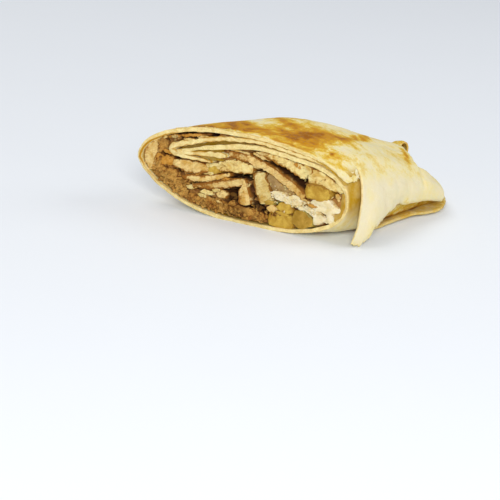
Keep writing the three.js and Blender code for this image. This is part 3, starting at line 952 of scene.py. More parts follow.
@dataclass
class Flatbread:
    """The rolled sheet: outer sheet with its tuck, second sheet, inner ply, flap, tongue and curl."""

    shoulder: float = 0.42
    turn_end: float = TURN + 1.4
    columns: int = 330
    rows: int = 122
    tail_fold: float = 7.0  # length over which the tail's end is pressed flat
    fold_height: float = 12.0  # height to which it is pressed
    flap_start: float = 77.0  # distance from the tip at which the flap leaves the shoulder
    # How far inside the outline the sheet runs, by the angle on it.
    insets: tuple = (
        (0.42, -0.6), (0.6, -0.5), (0.85, 0.1), (1.1, 0.75), (1.75 * math.pi, 0.85), (TURN, 0.95),
        (TURN + 0.3, 1.1), (TURN + 0.5, 1.8), (TURN + 0.62, 2.3), (TURN + 0.74, 3.1), (TURN + 1, 4.8),
        (TURN + 1.4, 5.1),
    )
    # Its thickness, by the same angle.
    thicknesses: tuple = (
        (0.42, 1.5), (1.5, 1.5), (1.9, 1.9), (3, 2.1), (3.8, 1.7), (5.5, 1.7), (TURN, 1.9),
        (TURN + 1.4, 1.8),
    )
    # Lines on the cut, as rows of s, z and thickness.
    tuck: tuple = (
        (50, 35.7, 2.2), (40, 33.5, 2.1), (34, 32.3, 1.7), (28, 30.6, 1.3), (22, 28.7, 1.9),
        (19.4, 27.9, 2.2),
    )
    second: tuple = (
        (50, 38.9, 1.8), (40, 37.6, 1.9), (35, 36.4, 2), (28, 34.2, 2.1), (20, 31.6, 2.5),
        (17, 30.2, 2.8), (16.2, 28.6, 2.8), (18.4, 27.2, 2.4), (28, 26.3, 1.5), (33, 26.2, 1.3),
        (37, 26, 1.1),
    )
    ply: tuple = ((18, 28, 2.2), (26, 28.5, 1.8), (34, 29.4, 2), (40, 29.8, 2.2), (44, 30.2, 2))
    # Moist bands set behind the cut in the gaps between the turns, under the torn skin and at the right
    # wall;
    # their olive colour is partly moist bread and partly painted shade, and the shade column darkens them
    # further as painted shade: name, how far behind the cut, depth, shade and line.
    fold_shades: tuple = (
        ("fold_upper", 1.2, 14, 0.6,
         ((20.6, 29.4, 1.6), (27, 31.6, 2.4), (36, 34.7, 2.8), (44, 36.4, 2.6), (52, 37.3, 1.2))),
        ("fold_middle", 0.8, 14, 0.45,
         ((26.5, 30, 1), (31, 31, 2), (36, 31.4, 2.2), (41, 31.8, 1.2))),
        ("fold_lower", 0.8, 14, 0.35,
         ((31, 27.6, 0.8), (35, 27.9, 1.5), (39, 27.7, 1.6), (41.5, 27.4, 0.5))),
        ("skin_seam", -0.1, 2.2, 0,
         ((87, 37, 0.5), (90.5, 36.2, 0.9), (95, 34, 1), (99, 31, 1), (101, 28.8, 0.5))),
        ("rim_wall", 0.7, 5, 0,
         ((100.2, 24.6, 1.2), (100.3, 22, 2.2), (100.2, 18.5, 3), (98.9, 14.5, 3.4), (96.4, 11, 2.6))),
    )
    # Ragged edges: distance from the tip along the roll, distance from the short side at the cut, height.
    flap_edge: tuple = (
        (71.5, -1.7, 0.7), (76, -2, 0.6), (80.5, -1.5, 3), (84.5, 0.5, 7), (88.5, 2.5, 8),
        (92.5, 5.5, 9.7), (100, 11, 11.3), (104, 13.5, 12.2), (108, 16, 10.4), (114.5, 18.5, 9.6),
        (121.5, 21, 8.8), (133, 25, 6.4), (137, 27, 5),
    )
    tongue_edge: tuple = (
        (92, 13), (101, 15.5), (110, 19), (119, 22), (128, 23), (135, 24.5), (140.5, 29), (146.5, 37.5),
        (148.4, 44), (147.3, 56),
    )

    def toast(self, points: Array, up: Array) -> Array:
        """How toasted each place is: ovals on the top, noise patches on the back and the underside, and
        gold below the hanging lip that is partly toast and partly painted shade.

        Each oval adds its heat times exp(-(distance in half-widths) ** 2 * 0.9).

        Args:
            points: Places in the roll's millimetres.
            up: Height part of the outward normal there.

        Returns:
            0 for raw dough to about 1 for char.
        """
        x, y = points[..., 0], points[..., 1]
        streaks = fractal(np.stack([x * 0.45 - y * 0.2, x * 0.5 + y, 0.0 * x], -1), 3.6, 4, 5)
        top = 0.15 + 0.12 * ease(14.0, -30.0, x) + 0.1 * streaks * ease(40.0, -10.0, x)
        warp = np.stack([fractal(points, 7.0, 4, 21), fractal(points, 7.0, 4, 33)]) * 2.2
        for patch in TOP_PATCHES:
            small = min(1.0, patch.short / 3.0)
            far = patch.far(x - patch.x + warp[0] * small, y - patch.y + warp[1] * small)
            top = top + patch.heat * np.exp(-0.9 * far) * (1.0 + 0.3 * streaks)
        blotch = fractal(points, 17.0, 4, 71)
        under = 0.1 + 0.75 * ease(0.02, 0.42, blotch) * ease(-0.2, 0.3, fractal(points, 6.0, 3, 91))
        behind = ease(24.0, 33.0, y) * ease(0.95, 0.3, up)
        facing = ease(-0.15, 0.35, up)
        touch = ease(0.35, 0.75, np.abs(up))
        hidden = under * touch * ease(-68.0, -54.0, x) * (1.0 - ease(-24.0, -29.0, y) * ease(24.0, 14.0, x))
        top = top * (1.0 - 0.55 * ease(-60.0, -68.0, x))
        seen = facing * (1.0 - behind)
        # Gold below the hanging lip: partly toast, partly painted shade from the lip.
        lip = 0.42 * self.under_lip(points) * (1.0 + 0.6 * fractal(points, 5.0, 3, 95))
        wall = 0.16 * ease(-26.0, -31.0, y) * ease(22.0, 12.0, x)
        return np.clip(top * seen + hidden * (1.0 - seen) + lip + wall * (1.0 - facing) + 0.04, 0.0, 1.0)

    def gap_glow(self, points: Array) -> Array:
        """1 on the wall between the cut and the flap, and 0 elsewhere; the moist gold laid there is partly
        the bread's own colour and partly painted shade from the flap.

        Args:
            points: Places in the roll's millimetres.

        Returns:
            The share.
        """
        x, y, z = np.moveaxis(points, -1, 0)
        side = ease(-27.0, -31.5, y) * ease(7.0, 20.0, z) * ease(36.0, 31.0, z)
        return ease(-8.5, -2.0, x) * ease(16.0, 11.0, x) * side

    def under_lip(self, points: Array) -> Array:
        """1 on the short side below the hanging edge, towards the tail, and 0 elsewhere.

        Args:
            points: Places in the roll's millimetres.

        Returns:
            The share.
        """
        x, y, z = np.moveaxis(points, -1, 0)
        run, _, height = np.array(self.flap_edge).T
        edge = np.interp(x - ROLL.tip_x, run, height)
        mid = (ROLL.back(x) + ROLL.front(x)) / 2.0
        side = ease(0.45, 0.8, (mid - y) / (mid - ROLL.front(x)))
        return side * ease(14.0, 26.0, x) * ease(71.0, 66.0, x) * ease(edge + 2.5, edge - 0.5, z)

    def creases(self, points: Array) -> Array:
        """Low folds of the sheet: a sine across slanting lines, one straight ridge and dents of noise.

        Args:
            points: Places in the roll's millimetres.

        Returns:
            Height in millimetres.
        """
        x, y, z = np.moveaxis(points, -1, 0)
        dents = 0.55 * fractal(points, 16.0, 2, 3) + 0.16 * fractal(points, 5.0, 3, 13)
        near = ease(-6.0, 14.0, x) * ease(66.0, 50.0, x) * ease(4.0, 14.0, z)
        slant = y - 0.38 * (x - 10.0) + 1.5 * lattice(points, 12.0, 51)
        folds = np.sin(slant * 0.52) * 0.34 * near * ease(-36.0, -22.0, y) * ease(26.0, 4.0, y)
        ridge = np.exp(-(((y - 0.93 * (x - 16.0)) / 2.4) ** 2)) * 0.5
        return dents + folds + ridge * ease(2.0, 12.0, x) * ease(44.0, 30.0, x)

    def ribbon(
        self, name: str, line: Array, ends: Array, rows: int, seed: int, outermost: bool = False,
        front: float = 0.0, moist: float = 0.0, dark: float = 0.0,
    ) -> Piece:
        """A sheet whose line on the cut is carried along the roll and closed at both ends.

        The first rings grow from the line's middle to its full thickness and make the cut's face; the
        others are stations x = cut + (end - cut) * share.

        Args:
            name: The piece's name.
            line: Rows of s, z and thickness.
            ends: X where each point of the line ends.
            rows: Rings along the roll.
            seed: Picks the relief.
            outermost: Whether it is the outer sheet, toasted outside and pressed flat at the tail.
            front: How far its face sits behind the cut.
            moist: How golden and moist its face is; in the bands between the turns this gold is partly
                painted shade.
            dark: How much it lies in shade.

        Returns:
            The object.
        """
        face = np.array([0.0, 0.3, 0.6, 0.82, 0.94])
        body = np.linspace(0.0, 1.0, rows) ** 1.12
        share = np.concatenate([np.zeros(5), [0.0012, 0.004, 0.009], 0.014 + 0.986 * body, np.ones(3)])
        scale = np.concatenate([face, [1.0, 1.02, 1.0], np.ones(rows), [0.7, 0.35, 0.0]])
        s = np.concatenate([line[:, 0], line[::-1, 0]])
        x_end = np.concatenate([ends, ends[::-1]])
        start = ROLL.cut_x(s) + front
        x = start + (x_end - start) * share[:, None]
        fatter, ripple = (1.08, 0.0) if outermost else (1.26, 0.3)
        sz = strip(line * [1.0, 1.0, fatter], scale, ripple, seed)
        open_share = np.ones_like(x)
        if outermost:
            pressed = ease(ROLL.tail_x - self.tail_fold, ROLL.tail_x, x)
            open_share = np.sqrt(np.maximum(0.0, 1.0 - pressed**2))
        z = self.fold_height + (sz[..., 1] - self.fold_height) * (0.06 + 0.94 * open_share)
        m = ROLL.cut_length / 2
        across = m + (sz[..., 0] - m) * (0.84 + 0.16 * open_share)
        grid = ROLL.place(across, z, x)
        n = ring_normals(grid)
        outer = np.where(np.arange(len(s)) < len(line), 1.0, -1.0)[None, :]
        inside = (outer < 0).astype(float)
        from_cut = x - start
        wave = self.creases(grid) * ease(0.0, 5.0, from_cut)
        fine = 0.1 * fractal(grid, 2.4, 3, seed) * ease(0.0, 2.0, from_cut)
        resting = ease(0.3, 2.5, grid[..., 2])
        grid = grid + n * ((outer * wave + fine) * resting)[..., None]
        if outermost:
            grid[..., 1] += 3.0 * self.under_lip(grid)
            place = np.arange(len(s))
            loose = np.clip(1.0 - np.minimum(place, len(s) - 1 - place) / 5.0, 0.0, 1.0)
            torn = 1.3 * fractal(on_line(x), 2.6, 3, 17) * loose[None, :]
            grid = grid + (grid[:, [0]] - grid[:, [6]]) * (torn / 5.0)[..., None]
        ragged = 0.6 * fractal(grid, 4.5, 3, seed + 7) + 0.14 * fractal(grid, 1.2, 2, seed + 9)
        near = ease(3.5, 0.0, from_cut)
        grid[..., 0] += np.abs(ragged) * near * 1.1
        grid[..., 2] += 0.25 * lattice(grid, 2.2, seed + 11) * near * resting
        grid[..., 2] = np.maximum(grid[..., 2], 0.0)
        cut = np.where(share[:, None] > 0.0, ease(1.3, 0.3, from_cut), 1.0)
        lit = self.toast(grid, n[..., 2]) if outermost else 0.12 + 0.14 * fractal(grid, 5.0, 3, seed)
        lit = lit * (0.55 + 0.45 * ease(0.5, 4.5, from_cut))
        lit = lit * (1.0 - inside) + 0.15 * inside
        depth = -outer * np.minimum(scale, 1.0)[:, None]
        face_level = 0.3 * fractal(grid, 6.0, 2, seed + 15) + 0.15
        if outermost:
            golden = ease(0.2, 0.95, depth) * ease(26.0, 12.0, s) * ease(15.0, 24.0, z)
            # Gold at the tip is toast; gold towards the sheet's edges on the cut is painted shade.
            face_level = face_level + 0.6 * golden + 0.25 * np.abs(depth) ** 4
        else:
            # Painted shade: the ply's cut face turns golden towards its edges, next to the gaps.
            face_level = face_level + 0.05 + 0.5 * np.abs(depth) ** 3
        lit = lit + (face_level - lit) * cut
        if outermost:
            # Moist gold on the wall by the flap: partly the bread's own colour, partly painted shade.
            damp = np.maximum(inside * ease(0.2, 2.5, from_cut), (1.0 - inside) * self.gap_glow(grid))
            shaded = dark
        else:
            damp = np.maximum(0.75 * ease(0.4, 3.5, from_cut), moist)
            shaded = np.maximum(dark, 0.5 * ease(1.0, 5.0, from_cut))
        marks = {Mark.TOAST: lit, Mark.CUT: cut * (1.0 - moist), Mark.INNER: damp, Mark.TINT: shaded}
        return ring_piece(name, grid, marks)

    def steps(self, table: tuple, a: Array) -> Array:
        """Straight lines between the table's values, read at the angles a."""
        at, value = np.array(table).T
        return np.interp(a, at, value)

    def outer_line(self) -> tuple[Array, Array]:
        """Line of the outer sheet on the cut and the X where each of its points ends.

        Returns:
            Rows of s, z and thickness, and the ends.
        """
        a = np.linspace(self.shoulder, self.turn_end, 900)
        around = ROLL.outline(a, self.steps(self.insets, a))
        line = np.column_stack([around, self.steps(self.thicknesses, a), a])
        tail = spline([line[-1, :3], *self.tuck], np.linspace(0.0, 1.0, 200))[1:]
        tail = np.column_stack([tail, np.full(len(tail), self.turn_end + 1.0)])
        line = even(np.vstack([line, tail]), self.columns)
        shorter = ROLL.tail_x - ROLL.closed_x + 20.0
        return line[:, :3], ROLL.tail_x - shorter * ease(TURN + 0.35, TURN + 0.7, line[:, 3])

    def second_line(self) -> Array:
        """Line of the second sheet: along the shoulder under the first, then back into the filling.

        Returns:
            Rows of s, z and thickness.
        """
        a = np.linspace(0.66, 1.46, 60)
        start = np.column_stack([ROLL.outline(a, 0.2 + 2.3 * ease(0.66, 1.08, a)), np.full(60, 1.6)])
        back = spline([start[-1], *self.second], np.linspace(0.0, 1.0, 300))
        return even(np.vstack([start, back[1:]]), 150)

    def hanging(self, name: str, middle: Array, thick: Array, marks: dict[Mark, Array]) -> Piece:
        """A loose sheet: its middle surface set off by half the thickness to both sides, round at the rim.

        Args:
            name: The piece's name.
            middle: Points by column and row.
            thick: Thickness at each.
            marks: Values for the material, by column and row.

        Returns:
            The object.
        """
        n = sheet_normals(middle)
        if n[..., 1].mean() > 0:
            n = -n
        cols, rows = thick.shape
        i, k = np.arange(cols)[:, None], np.arange(rows)[None, :]
        edge = np.minimum(np.minimum(i, cols - 1 - i), np.minimum(k, rows - 1 - k)) / 2.0
        rounded = np.sqrt(1.0 - (1.0 - np.clip(edge, 0.0, 1.0)) ** 2)
        half = (thick / 2 * rounded)[..., None]
        front, rear = middle + n * half, middle - n * half
        front[..., 2], rear[..., 2] = np.maximum(front[..., 2], 0.0), np.maximum(rear[..., 2], 0.0)
        face = sheet_quads(cols, rows)
        both = np.vstack([face, face[:, ::-1] + cols * rows])
        doubled = {mark: np.tile(np.broadcast_to(v, thick.shape).ravel(), 2) for mark, v in marks.items()}
        return make_piece(name, np.concatenate([front.reshape(-1, 3), rear.reshape(-1, 3)]), both, doubled)

    def flap(self) -> Piece:
        """The free edge of the outer sheet, hanging off the shoulder as a Bezier sheet.

        Each column runs over the shoulder, turns outwards and falls to the ragged edge:
        P = (1-w)^3 A + 3 (1-w)^2 w B + 3 (1-w) w^2 C + w^3 D.

        Returns:
            The object.
        """
        columns, over, hang = 190, 16, 60
        q = np.linspace(0.0, 1.0, columns)
        edge = spline(self.flap_edge, q)
        end = edge + [ROLL.tip_x, ROLL.front_y, 0.0]
        end[:, 2] = np.maximum(0.6, end[:, 2])
        jag = 0.35 * np.sin(5 * q * 26) + 0.4 * np.sin(2.3 * q * 26) + 0.5 * fractal(end, 2.2, 3, 311)
        jag = jag * (1.0 - 0.8 * ease(0.4, 0.62, q))
        top_x = ROLL.tip_x + self.flap_start + (edge[:, 0] - self.flap_edge[0][0]) * 0.92
        a = np.linspace(1.28, 0.6, over)
        proud = np.interp(a, [0.6, 0.8, 1.02, 1.28], [0.3, 0.16, 0.0, -0.16])[:, None]
        proud = proud - 0.7 * ease(0.05, 0.0, q)[None, :] * ease(0.6, 0.8, a)[:, None]
        lift = self.steps(self.insets, a)[:, None] - 0.075 - proud
        line = ROLL.outline(a[:, None], lift)
        shoulder = np.moveaxis(ROLL.place(line[..., 0], line[..., 1], top_x[None, :]), 0, 1)
        turn, slope = shoulder[:, -1], unit(shoulder[:, -1] - shoulder[:, -2])
        out = 9.5 - 3.0 * ease(0.1, 0.5, q)
        pull = np.minimum(10.0, 0.45 * (turn[:, 2] - end[:, 2]))
        second = turn + slope * out[:, None] + [0.0, -0.6, 0.0]
        third = end + np.stack([4.0 - 3.5 * ease(0.0, 0.3, q), np.full(columns, -1.6), pull], -1)
        w = (np.arange(1, hang + 1) / hang)[None, :, None]
        fall = (
            (1 - w) ** 3 * turn[:, None]
            + 3 * (1 - w) ** 2 * w * second[:, None]
            + 3 * (1 - w) * w**2 * third[:, None]
            + w**3 * end[:, None]
        )
        middle = np.concatenate([shoulder, fall], axis=1)
        down = np.concatenate([np.zeros(over), np.linspace(0.0, 1.0, hang)])[None, :]
        n = sheet_normals(middle)
        n *= -np.sign(n[..., 1].mean())
        middle = middle + n * (self.creases(middle) * ease(0.6, 0.0, down))[..., None]
        along, up = middle[..., 0], middle[..., 2]
        folds = np.stack([along * 0.9 + up * 0.3, up * 0.35, 0.0 * along], -1)
        soft = 0.5 * fractal(folds, 8.0, 2, 43) * ease(0.05, 0.5, down) * ease(0.0, 0.08, q[:, None])
        middle = middle + n * (soft + 0.5 * fractal(middle, 9.0, 2, 41) * ease(0.05, 0.3, down))[..., None]
        middle[..., 0] -= 0.4 * fractal(middle, 6.0, 2, 45) * ease(0.0, 0.3, down)
        middle[..., 2] += jag[:, None] * down**5
        thick = 1.35 - 0.75 * ease(0.88, 1.0, down) + 0.12 * fractal(middle, 2.6, 2, 47)
        own = 0.03 + 0.1 * ease(0.0, 0.5, fractal(middle, 9.0, 3, 49))
        own = own + 0.06 * ease(0.3, 0.9, q[:, None]) + 0.07 * down
        fade = ease(0.02, 0.35, down)
        toast = self.toast(middle, np.abs(n[..., 2])) * (1.0 - fade) + own * fade
        torn = np.maximum(ease(0.93, 1.0, down), ease(0.012, 0.0, q)[:, None] * ease(0.0, 0.1, down))
        marks = {Mark.TOAST: toast, Mark.CUT: torn, Mark.INNER: 0.0}
        return self.hanging("bread_flap", middle, thick, marks)

    def tongue(self) -> Piece:
        """Bottom sheet that reaches out on the table under the overhanging lip, past the tail.

        Returns:
            The object.
        """
        columns, rows, width = 130, 26, 18.0
        q = np.linspace(0.0, 1.0, columns)
        edge = spline(self.tongue_edge, q)
        heart = unit(np.stack([118.0 - 10.0 * (1.0 - q), np.full(columns, 62.0)], -1) - edge)
        reach = np.linspace(width, 0.0, rows)[None, :]
        wander = 0.5 * fractal(np.column_stack([edge, 0 * q]), 3.0, 2, 61)[:, None]
        reach = reach + wander * ease(6.0, 0.0, reach)
        flat = edge[:, None, :] + heart[:, None, :] * reach[..., None]
        rise = 0.9 * ease(8.0, 0.0, reach) * ease(0.0, 0.15, q)[:, None]
        z = 0.82 + rise + 0.3 * fractal(np.dstack([flat, 0 * reach]), 6.0, 2, 63) * ease(12.0, 2.0, reach)
        middle = np.dstack([flat[..., 0] + ROLL.tip_x, flat[..., 1] + ROLL.front_y, np.maximum(z, 0.75)])
        thick = 1.45 + 0.15 * fractal(middle, 2.0, 2, 65)
        toast = 0.36 + 0.3 * fractal(middle, 7.0, 3, 67)
        rim = ease(0.8, 0.0, reach)
        marks = {Mark.TOAST: np.clip(toast, 0, 1), Mark.CUT: 0.35 * rim, Mark.INNER: 0.45}
        return self.hanging("bread_tongue", middle, thick, marks)

    def curl(self) -> Piece:
        """Curled end of the top sheet: a C of two radii carried along the step, open at its side.

        Returns:
            The object.
        """
        around, stations = 60, 44
        wide, tall, thick = 2.1, 3.1, 0.9
        a = np.linspace(2.75, -2.3, around)
        line = np.column_stack([wide * np.cos(a), tall * np.sin(a), np.full(around, thick)])
        k = np.linspace(0.0, 7.0, stations)
        u = -0.9 + 0.075 * k
        x = ROLL.step(u) - 2.2
        s = ROLL.cut_length / 2 * (1 + u)
        crest = ROLL.place(s, ROLL.tip_height + 20.0 * np.sqrt(1.0 - np.abs(u) ** 2.6), x)
        size = 1.0 + 0.12 * ease(3.0, 6.0, k) - 0.3 * ease(1.0, 0.0, k)
        scale = np.concatenate([[0.0, 0.5, 0.85], np.ones(len(k)), [0.85, 0.5, 0.0]])
        pick = np.concatenate([[0, 0, 0], np.arange(len(k)), [len(k) - 1] * 3])
        flat = strip(line, scale)
        grid = np.stack(
            [
                x[pick, None] + 2.9 + flat[..., 0] * size[pick, None],
                crest[pick, 1][:, None] + 0.5 + 0 * flat[..., 0],
                crest[pick, 2][:, None] - 2.4 + flat[..., 1] * size[pick, None],
            ],
            -1,
        )
        ends = np.concatenate([[-0.3, -0.25, -0.1], np.zeros(len(k)), [0.1, 0.25, 0.3]])
        grid[..., 1] -= ends[:, None]
        grid = grid + ring_normals(grid) * (0.22 * fractal(grid, 3.0, 3, 81))[..., None]
        inner = (np.arange(flat.shape[1]) < len(line)).astype(float)
        toast = 0.42 + 0.24 * ease(-0.2, 0.6, fractal(grid, 3.5, 3, 83)) + 0.1 * inner
        cut = (scale < 0.99).astype(float)[:, None]
        marks = {Mark.TOAST: toast, Mark.CUT: cut * 0.5, Mark.INNER: 0.45 * inner}
        return ring_piece("bread_curl", grid, marks)

    def torn_skin(self) -> Piece:
        """Ragged front edge of the outermost skin along the shoulder, standing a little off the cut.

        It leaves the skin by half a millimetre at the cut and dives under it behind.

        Returns:
            The object.
        """
        columns, rows, depth, radius = 170, 26, 9.0, 42.0
        a = np.linspace(0.4, 1.25, columns)
        ends = (ease(0.4, 0.46, a) * ease(1.25, 1.0, a))[:, None]
        reach = np.linspace(0.0, 1.0, rows)[None, :]
        proud = 0.55 * (1.0 - ease(0.0, 0.7, reach)) * ends - 0.12
        back = depth * reach
        around = a[:, None] + 0.07 * fractal(on_line(back), 2.2, 3, 417) * ease(0.75, 0.4, a)[:, None]
        line = ROLL.outline(around, self.steps(self.insets, around) - 0.5 - proud)
        along = on_line(a * radius)
        torn = 0.75 + 1.1 * fractal(along, 3.4, 3, 411) + 0.3 * fractal(along, 0.9, 2, 413)
        x = ROLL.cut_x(line[..., 0]) - torn[:, None] * ends * (1.0 - reach) + back
        middle = ROLL.place(line[..., 0], line[..., 1], x)
        n = sheet_normals(middle)
        n *= np.sign(n[..., 2].mean())
        middle = middle + n * (self.creases(middle) * ease(0.0, 5.0, back))[..., None]
        thick = 0.6 + 0.1 * fractal(middle, 2.0, 2, 415)
        near = ease(0.25, 0.0, reach)
        toast = self.toast(middle, np.abs(n[..., 2])) * (1.0 - 0.5 * near)
        marks = {Mark.TOAST: toast, Mark.CUT: 0.5 * near**2, Mark.INNER: 0.0}
        return self.hanging("torn_skin", middle, thick, marks)

    def flakes(self) -> Piece:
        """Thin flakes of the outermost skin that lift off the torn edge and the crest at the cut.

        Each is a small patch lying on the roll, one side of it raised by a parabola.

        Returns:
            The object.
        """
        rng = np.random.default_rng(29)
        count, long, wide = 30, 9, 7
        at_flap = np.arange(count) < 5
        angle = np.where(at_flap, rng.uniform(0.44, 0.6, count), rng.uniform(1.62, 2.25, count))
        line = ROLL.outline(angle, self.steps(self.insets, angle) - 0.85)
        near_cut = ROLL.cut_x(line[:, 0]) + np.abs(rng.normal(0.6, 0.8, count))
        x = np.where(at_flap, rng.uniform(-1.0, 5.5, count), near_cut)
        middle = ROLL.place(line[:, 0], line[:, 1], x)
        beside = ROLL.outline(angle + 0.02, self.steps(self.insets, angle) - 0.85)
        around = unit(ROLL.place(beside[:, 0], beside[:, 1], x) - middle)
        out = np.cross(np.array([1.0, 0.0, 0.0]), around)
        out *= np.sign(out[:, [2]])
        p, q = np.meshgrid(np.linspace(-1, 1, long), np.linspace(-1, 1, wide), indexing="ij")
        size = rng.uniform(0.6, 1.7, (count, 1, 1))
        slim = rng.uniform(0.35, 0.8, (count, 1, 1))
        spin = rng.uniform(0.0, TURN, (count, 1, 1))
        edge = 1.0 + 0.3 * np.sin(3.0 * np.arctan2(q, p) + spin) + 0.0 * p
        a = (p * np.cos(spin) - q * slim * np.sin(spin)) * size * edge
        b = (p * np.sin(spin) + q * slim * np.cos(spin)) * size * edge
        lift = rng.uniform(0.05, 0.4, (count, 1, 1)) * (p + 1.0) ** 2 / 4.0 * size
        along_roll = a[..., None] * [1.0, 0.0, 0.0]
        patch = middle[:, None, None] + along_roll + b[..., None] * around[:, None, None]
        rim = np.minimum(1.0 - np.abs(p), 1.0 - np.abs(q)) > 1e-6
        half = np.where(rim, 0.14, 0.0)
        top = patch + (lift + half + 0.1)[..., None] * out[:, None, None]
        low = patch + (lift - half + 0.1)[..., None] * out[:, None, None]
        upper = copied_quads(sheet_quads(long, wide), count, long * wide)
        quads = np.vstack([upper, upper[:, ::-1] + count * long * wide])
        points = np.concatenate([top.reshape(-1, 3), low.reshape(-1, 3)])
        tone = 0.08 + 0.12 * np.clip(fractal(points, 2.0, 2, 97), 0.0, 1.0)
        tone = tone + 0.25 * ease(-5.0, -25.0, points[:, 0])
        return make_piece("bread_flakes", points, quads, {Mark.TOAST: tone, Mark.CUT: 0.3 + 0 * tone})

    def build(self, palette: Palette) -> None:
        """Builds and dresses every part of the bread; together they stand for the bread's node.

        Args:
            palette: The finishes.
        """
        line, ends = self.outer_line()
        pieces = [self.ribbon("outer_sheet", line, ends, self.rows, 101, outermost=True)]
        second = self.second_line()
        pieces.append(self.ribbon("second_sheet", second, ROLL.cut_x(second[:, 0]) + 46.0, 34, 131))
        ply = smooth_line(self.ply, 56)
        pieces.append(self.ribbon("inner_ply", ply, ROLL.cut_x(ply[:, 0]) + 40.0, 30, 151))
        for k, (name, front, depth, dark, shade) in enumerate(self.fold_shades):
            line = smooth_line(shade, 40)
            ends = ROLL.cut_x(line[:, 0]) + depth
            pieces.append(self.ribbon(name, line, ends, 10, 171 + k, front=front, moist=1.0, dark=dark))
        pieces += [self.flap(), self.torn_skin(), self.tongue(), self.curl()]
        for piece in pieces:
            settle(piece, palette.bread, "flatbread", ["flatbread"])
        settle(self.flakes(), palette.bread, "flatbread")


# ---------------------------------------------------------------- filling


@dataclass(frozen=True)
class Look:
    """How a piece of filling differs from its kind.

    ``left``, ``right``, ``upper`` and ``lower`` add browning towards that side of its face, ``tint``
    darkens it all, ``far`` paints shade on it away from the cut, ``fat`` thickens it, ``grow`` lengthens
    it at both ends by millimetres, ``blunt`` is the length of the rounding of its ends and ``kind`` picks
    the finish of another kind.
    """

    left: float = 0.0
    right: float = 0.0
    upper: float = 0.0
    lower: float = 0.0
    tint: float = 0.0
    far: float = 0.95
    fat: float = 1.2
    grow: float = 0.7
    blunt: float = 0.6
    kind: Kind | None = None


LOOKS = {
    "tip_slice": Look(left=0.5, upper=0.5, right=0.3, fat=1.6, grow=2.4),
    "top_slice": Look(upper=0.8, right=0.8, left=0.2, tint=0.1, fat=1.1),
    "seared_piece": Look(upper=0.2, lower=0.3, fat=1.25),
    "left_slice": Look(lower=0.6, left=0.3, right=0.2, fat=1.26, grow=1.6, blunt=0.5, kind=Kind.ROAST),
    "potato_strip": Look(lower=0.35, right=0.2, fat=1.34, grow=1.8, blunt=0.5),
    "thin_slice": Look(upper=1.1, left=1.0, fat=1.35, grow=1.4, kind=Kind.ROAST),
    "middle_slice": Look(
        upper=0.9, left=0.8, lower=0.5, tint=0.08, fat=1.26, grow=1.2, blunt=0.4, kind=Kind.ROAST
    ),
    "wedge_slice": Look(left=1.0, right=0.2, lower=0.2, fat=1.16, grow=0.6, kind=Kind.ROAST),
    "upright_slice": Look(left=0.8, lower=0.4, tint=0.14, fat=1.18, grow=0.5, blunt=0.45),
    "long_slice": Look(
        left=0.8, upper=0.3, right=0.3, tint=0.04, fat=1.1, grow=1.2, blunt=0.5, kind=Kind.ROAST
    ),
    "upper_slice": Look(left=1.0, lower=0.4, fat=1.2, grow=1.6, kind=Kind.PALE),
    "side_slice": Look(left=0.2, lower=0.35, fat=1.7, grow=2.2, blunt=0.8),
    "onion_wedge": Look(far=0.4, fat=3.0, grow=3.2, blunt=0.9),
    "potato_chunk": Look(upper=0.5, left=0.6, fat=1.6, grow=0.9, blunt=0.35),
    "golden_slab": Look(upper=0.3, left=0.2, far=0.7, fat=1.34, grow=0.9, blunt=0.3),
    "pickle": Look(right=0.3, upper=0.2, far=0.7, fat=1.26, grow=1.1, blunt=0.3),
    "sauce_strip": Look(upper=0.3, far=0.5, fat=1.4, grow=1.0),
    "crumb_yellow": Look(left=0.2, far=0.5, fat=1.2),
    "crumb_brown": Look(tint=0.85, fat=0.95),
    "crumb_dark": Look(tint=0.85, fat=0.95),
    "tip_lump": Look(tint=0.1, fat=1.4, kind=Kind.CRUMBLED),
    "left_crumble": Look(fat=1.16, grow=0.4),
    "bottom_crumble": Look(fat=1.14, grow=0.4),
    "crumb_white": Look(far=0.5, fat=1.2),
    "sauce_pool": Look(far=0.5, fat=1.02),
}


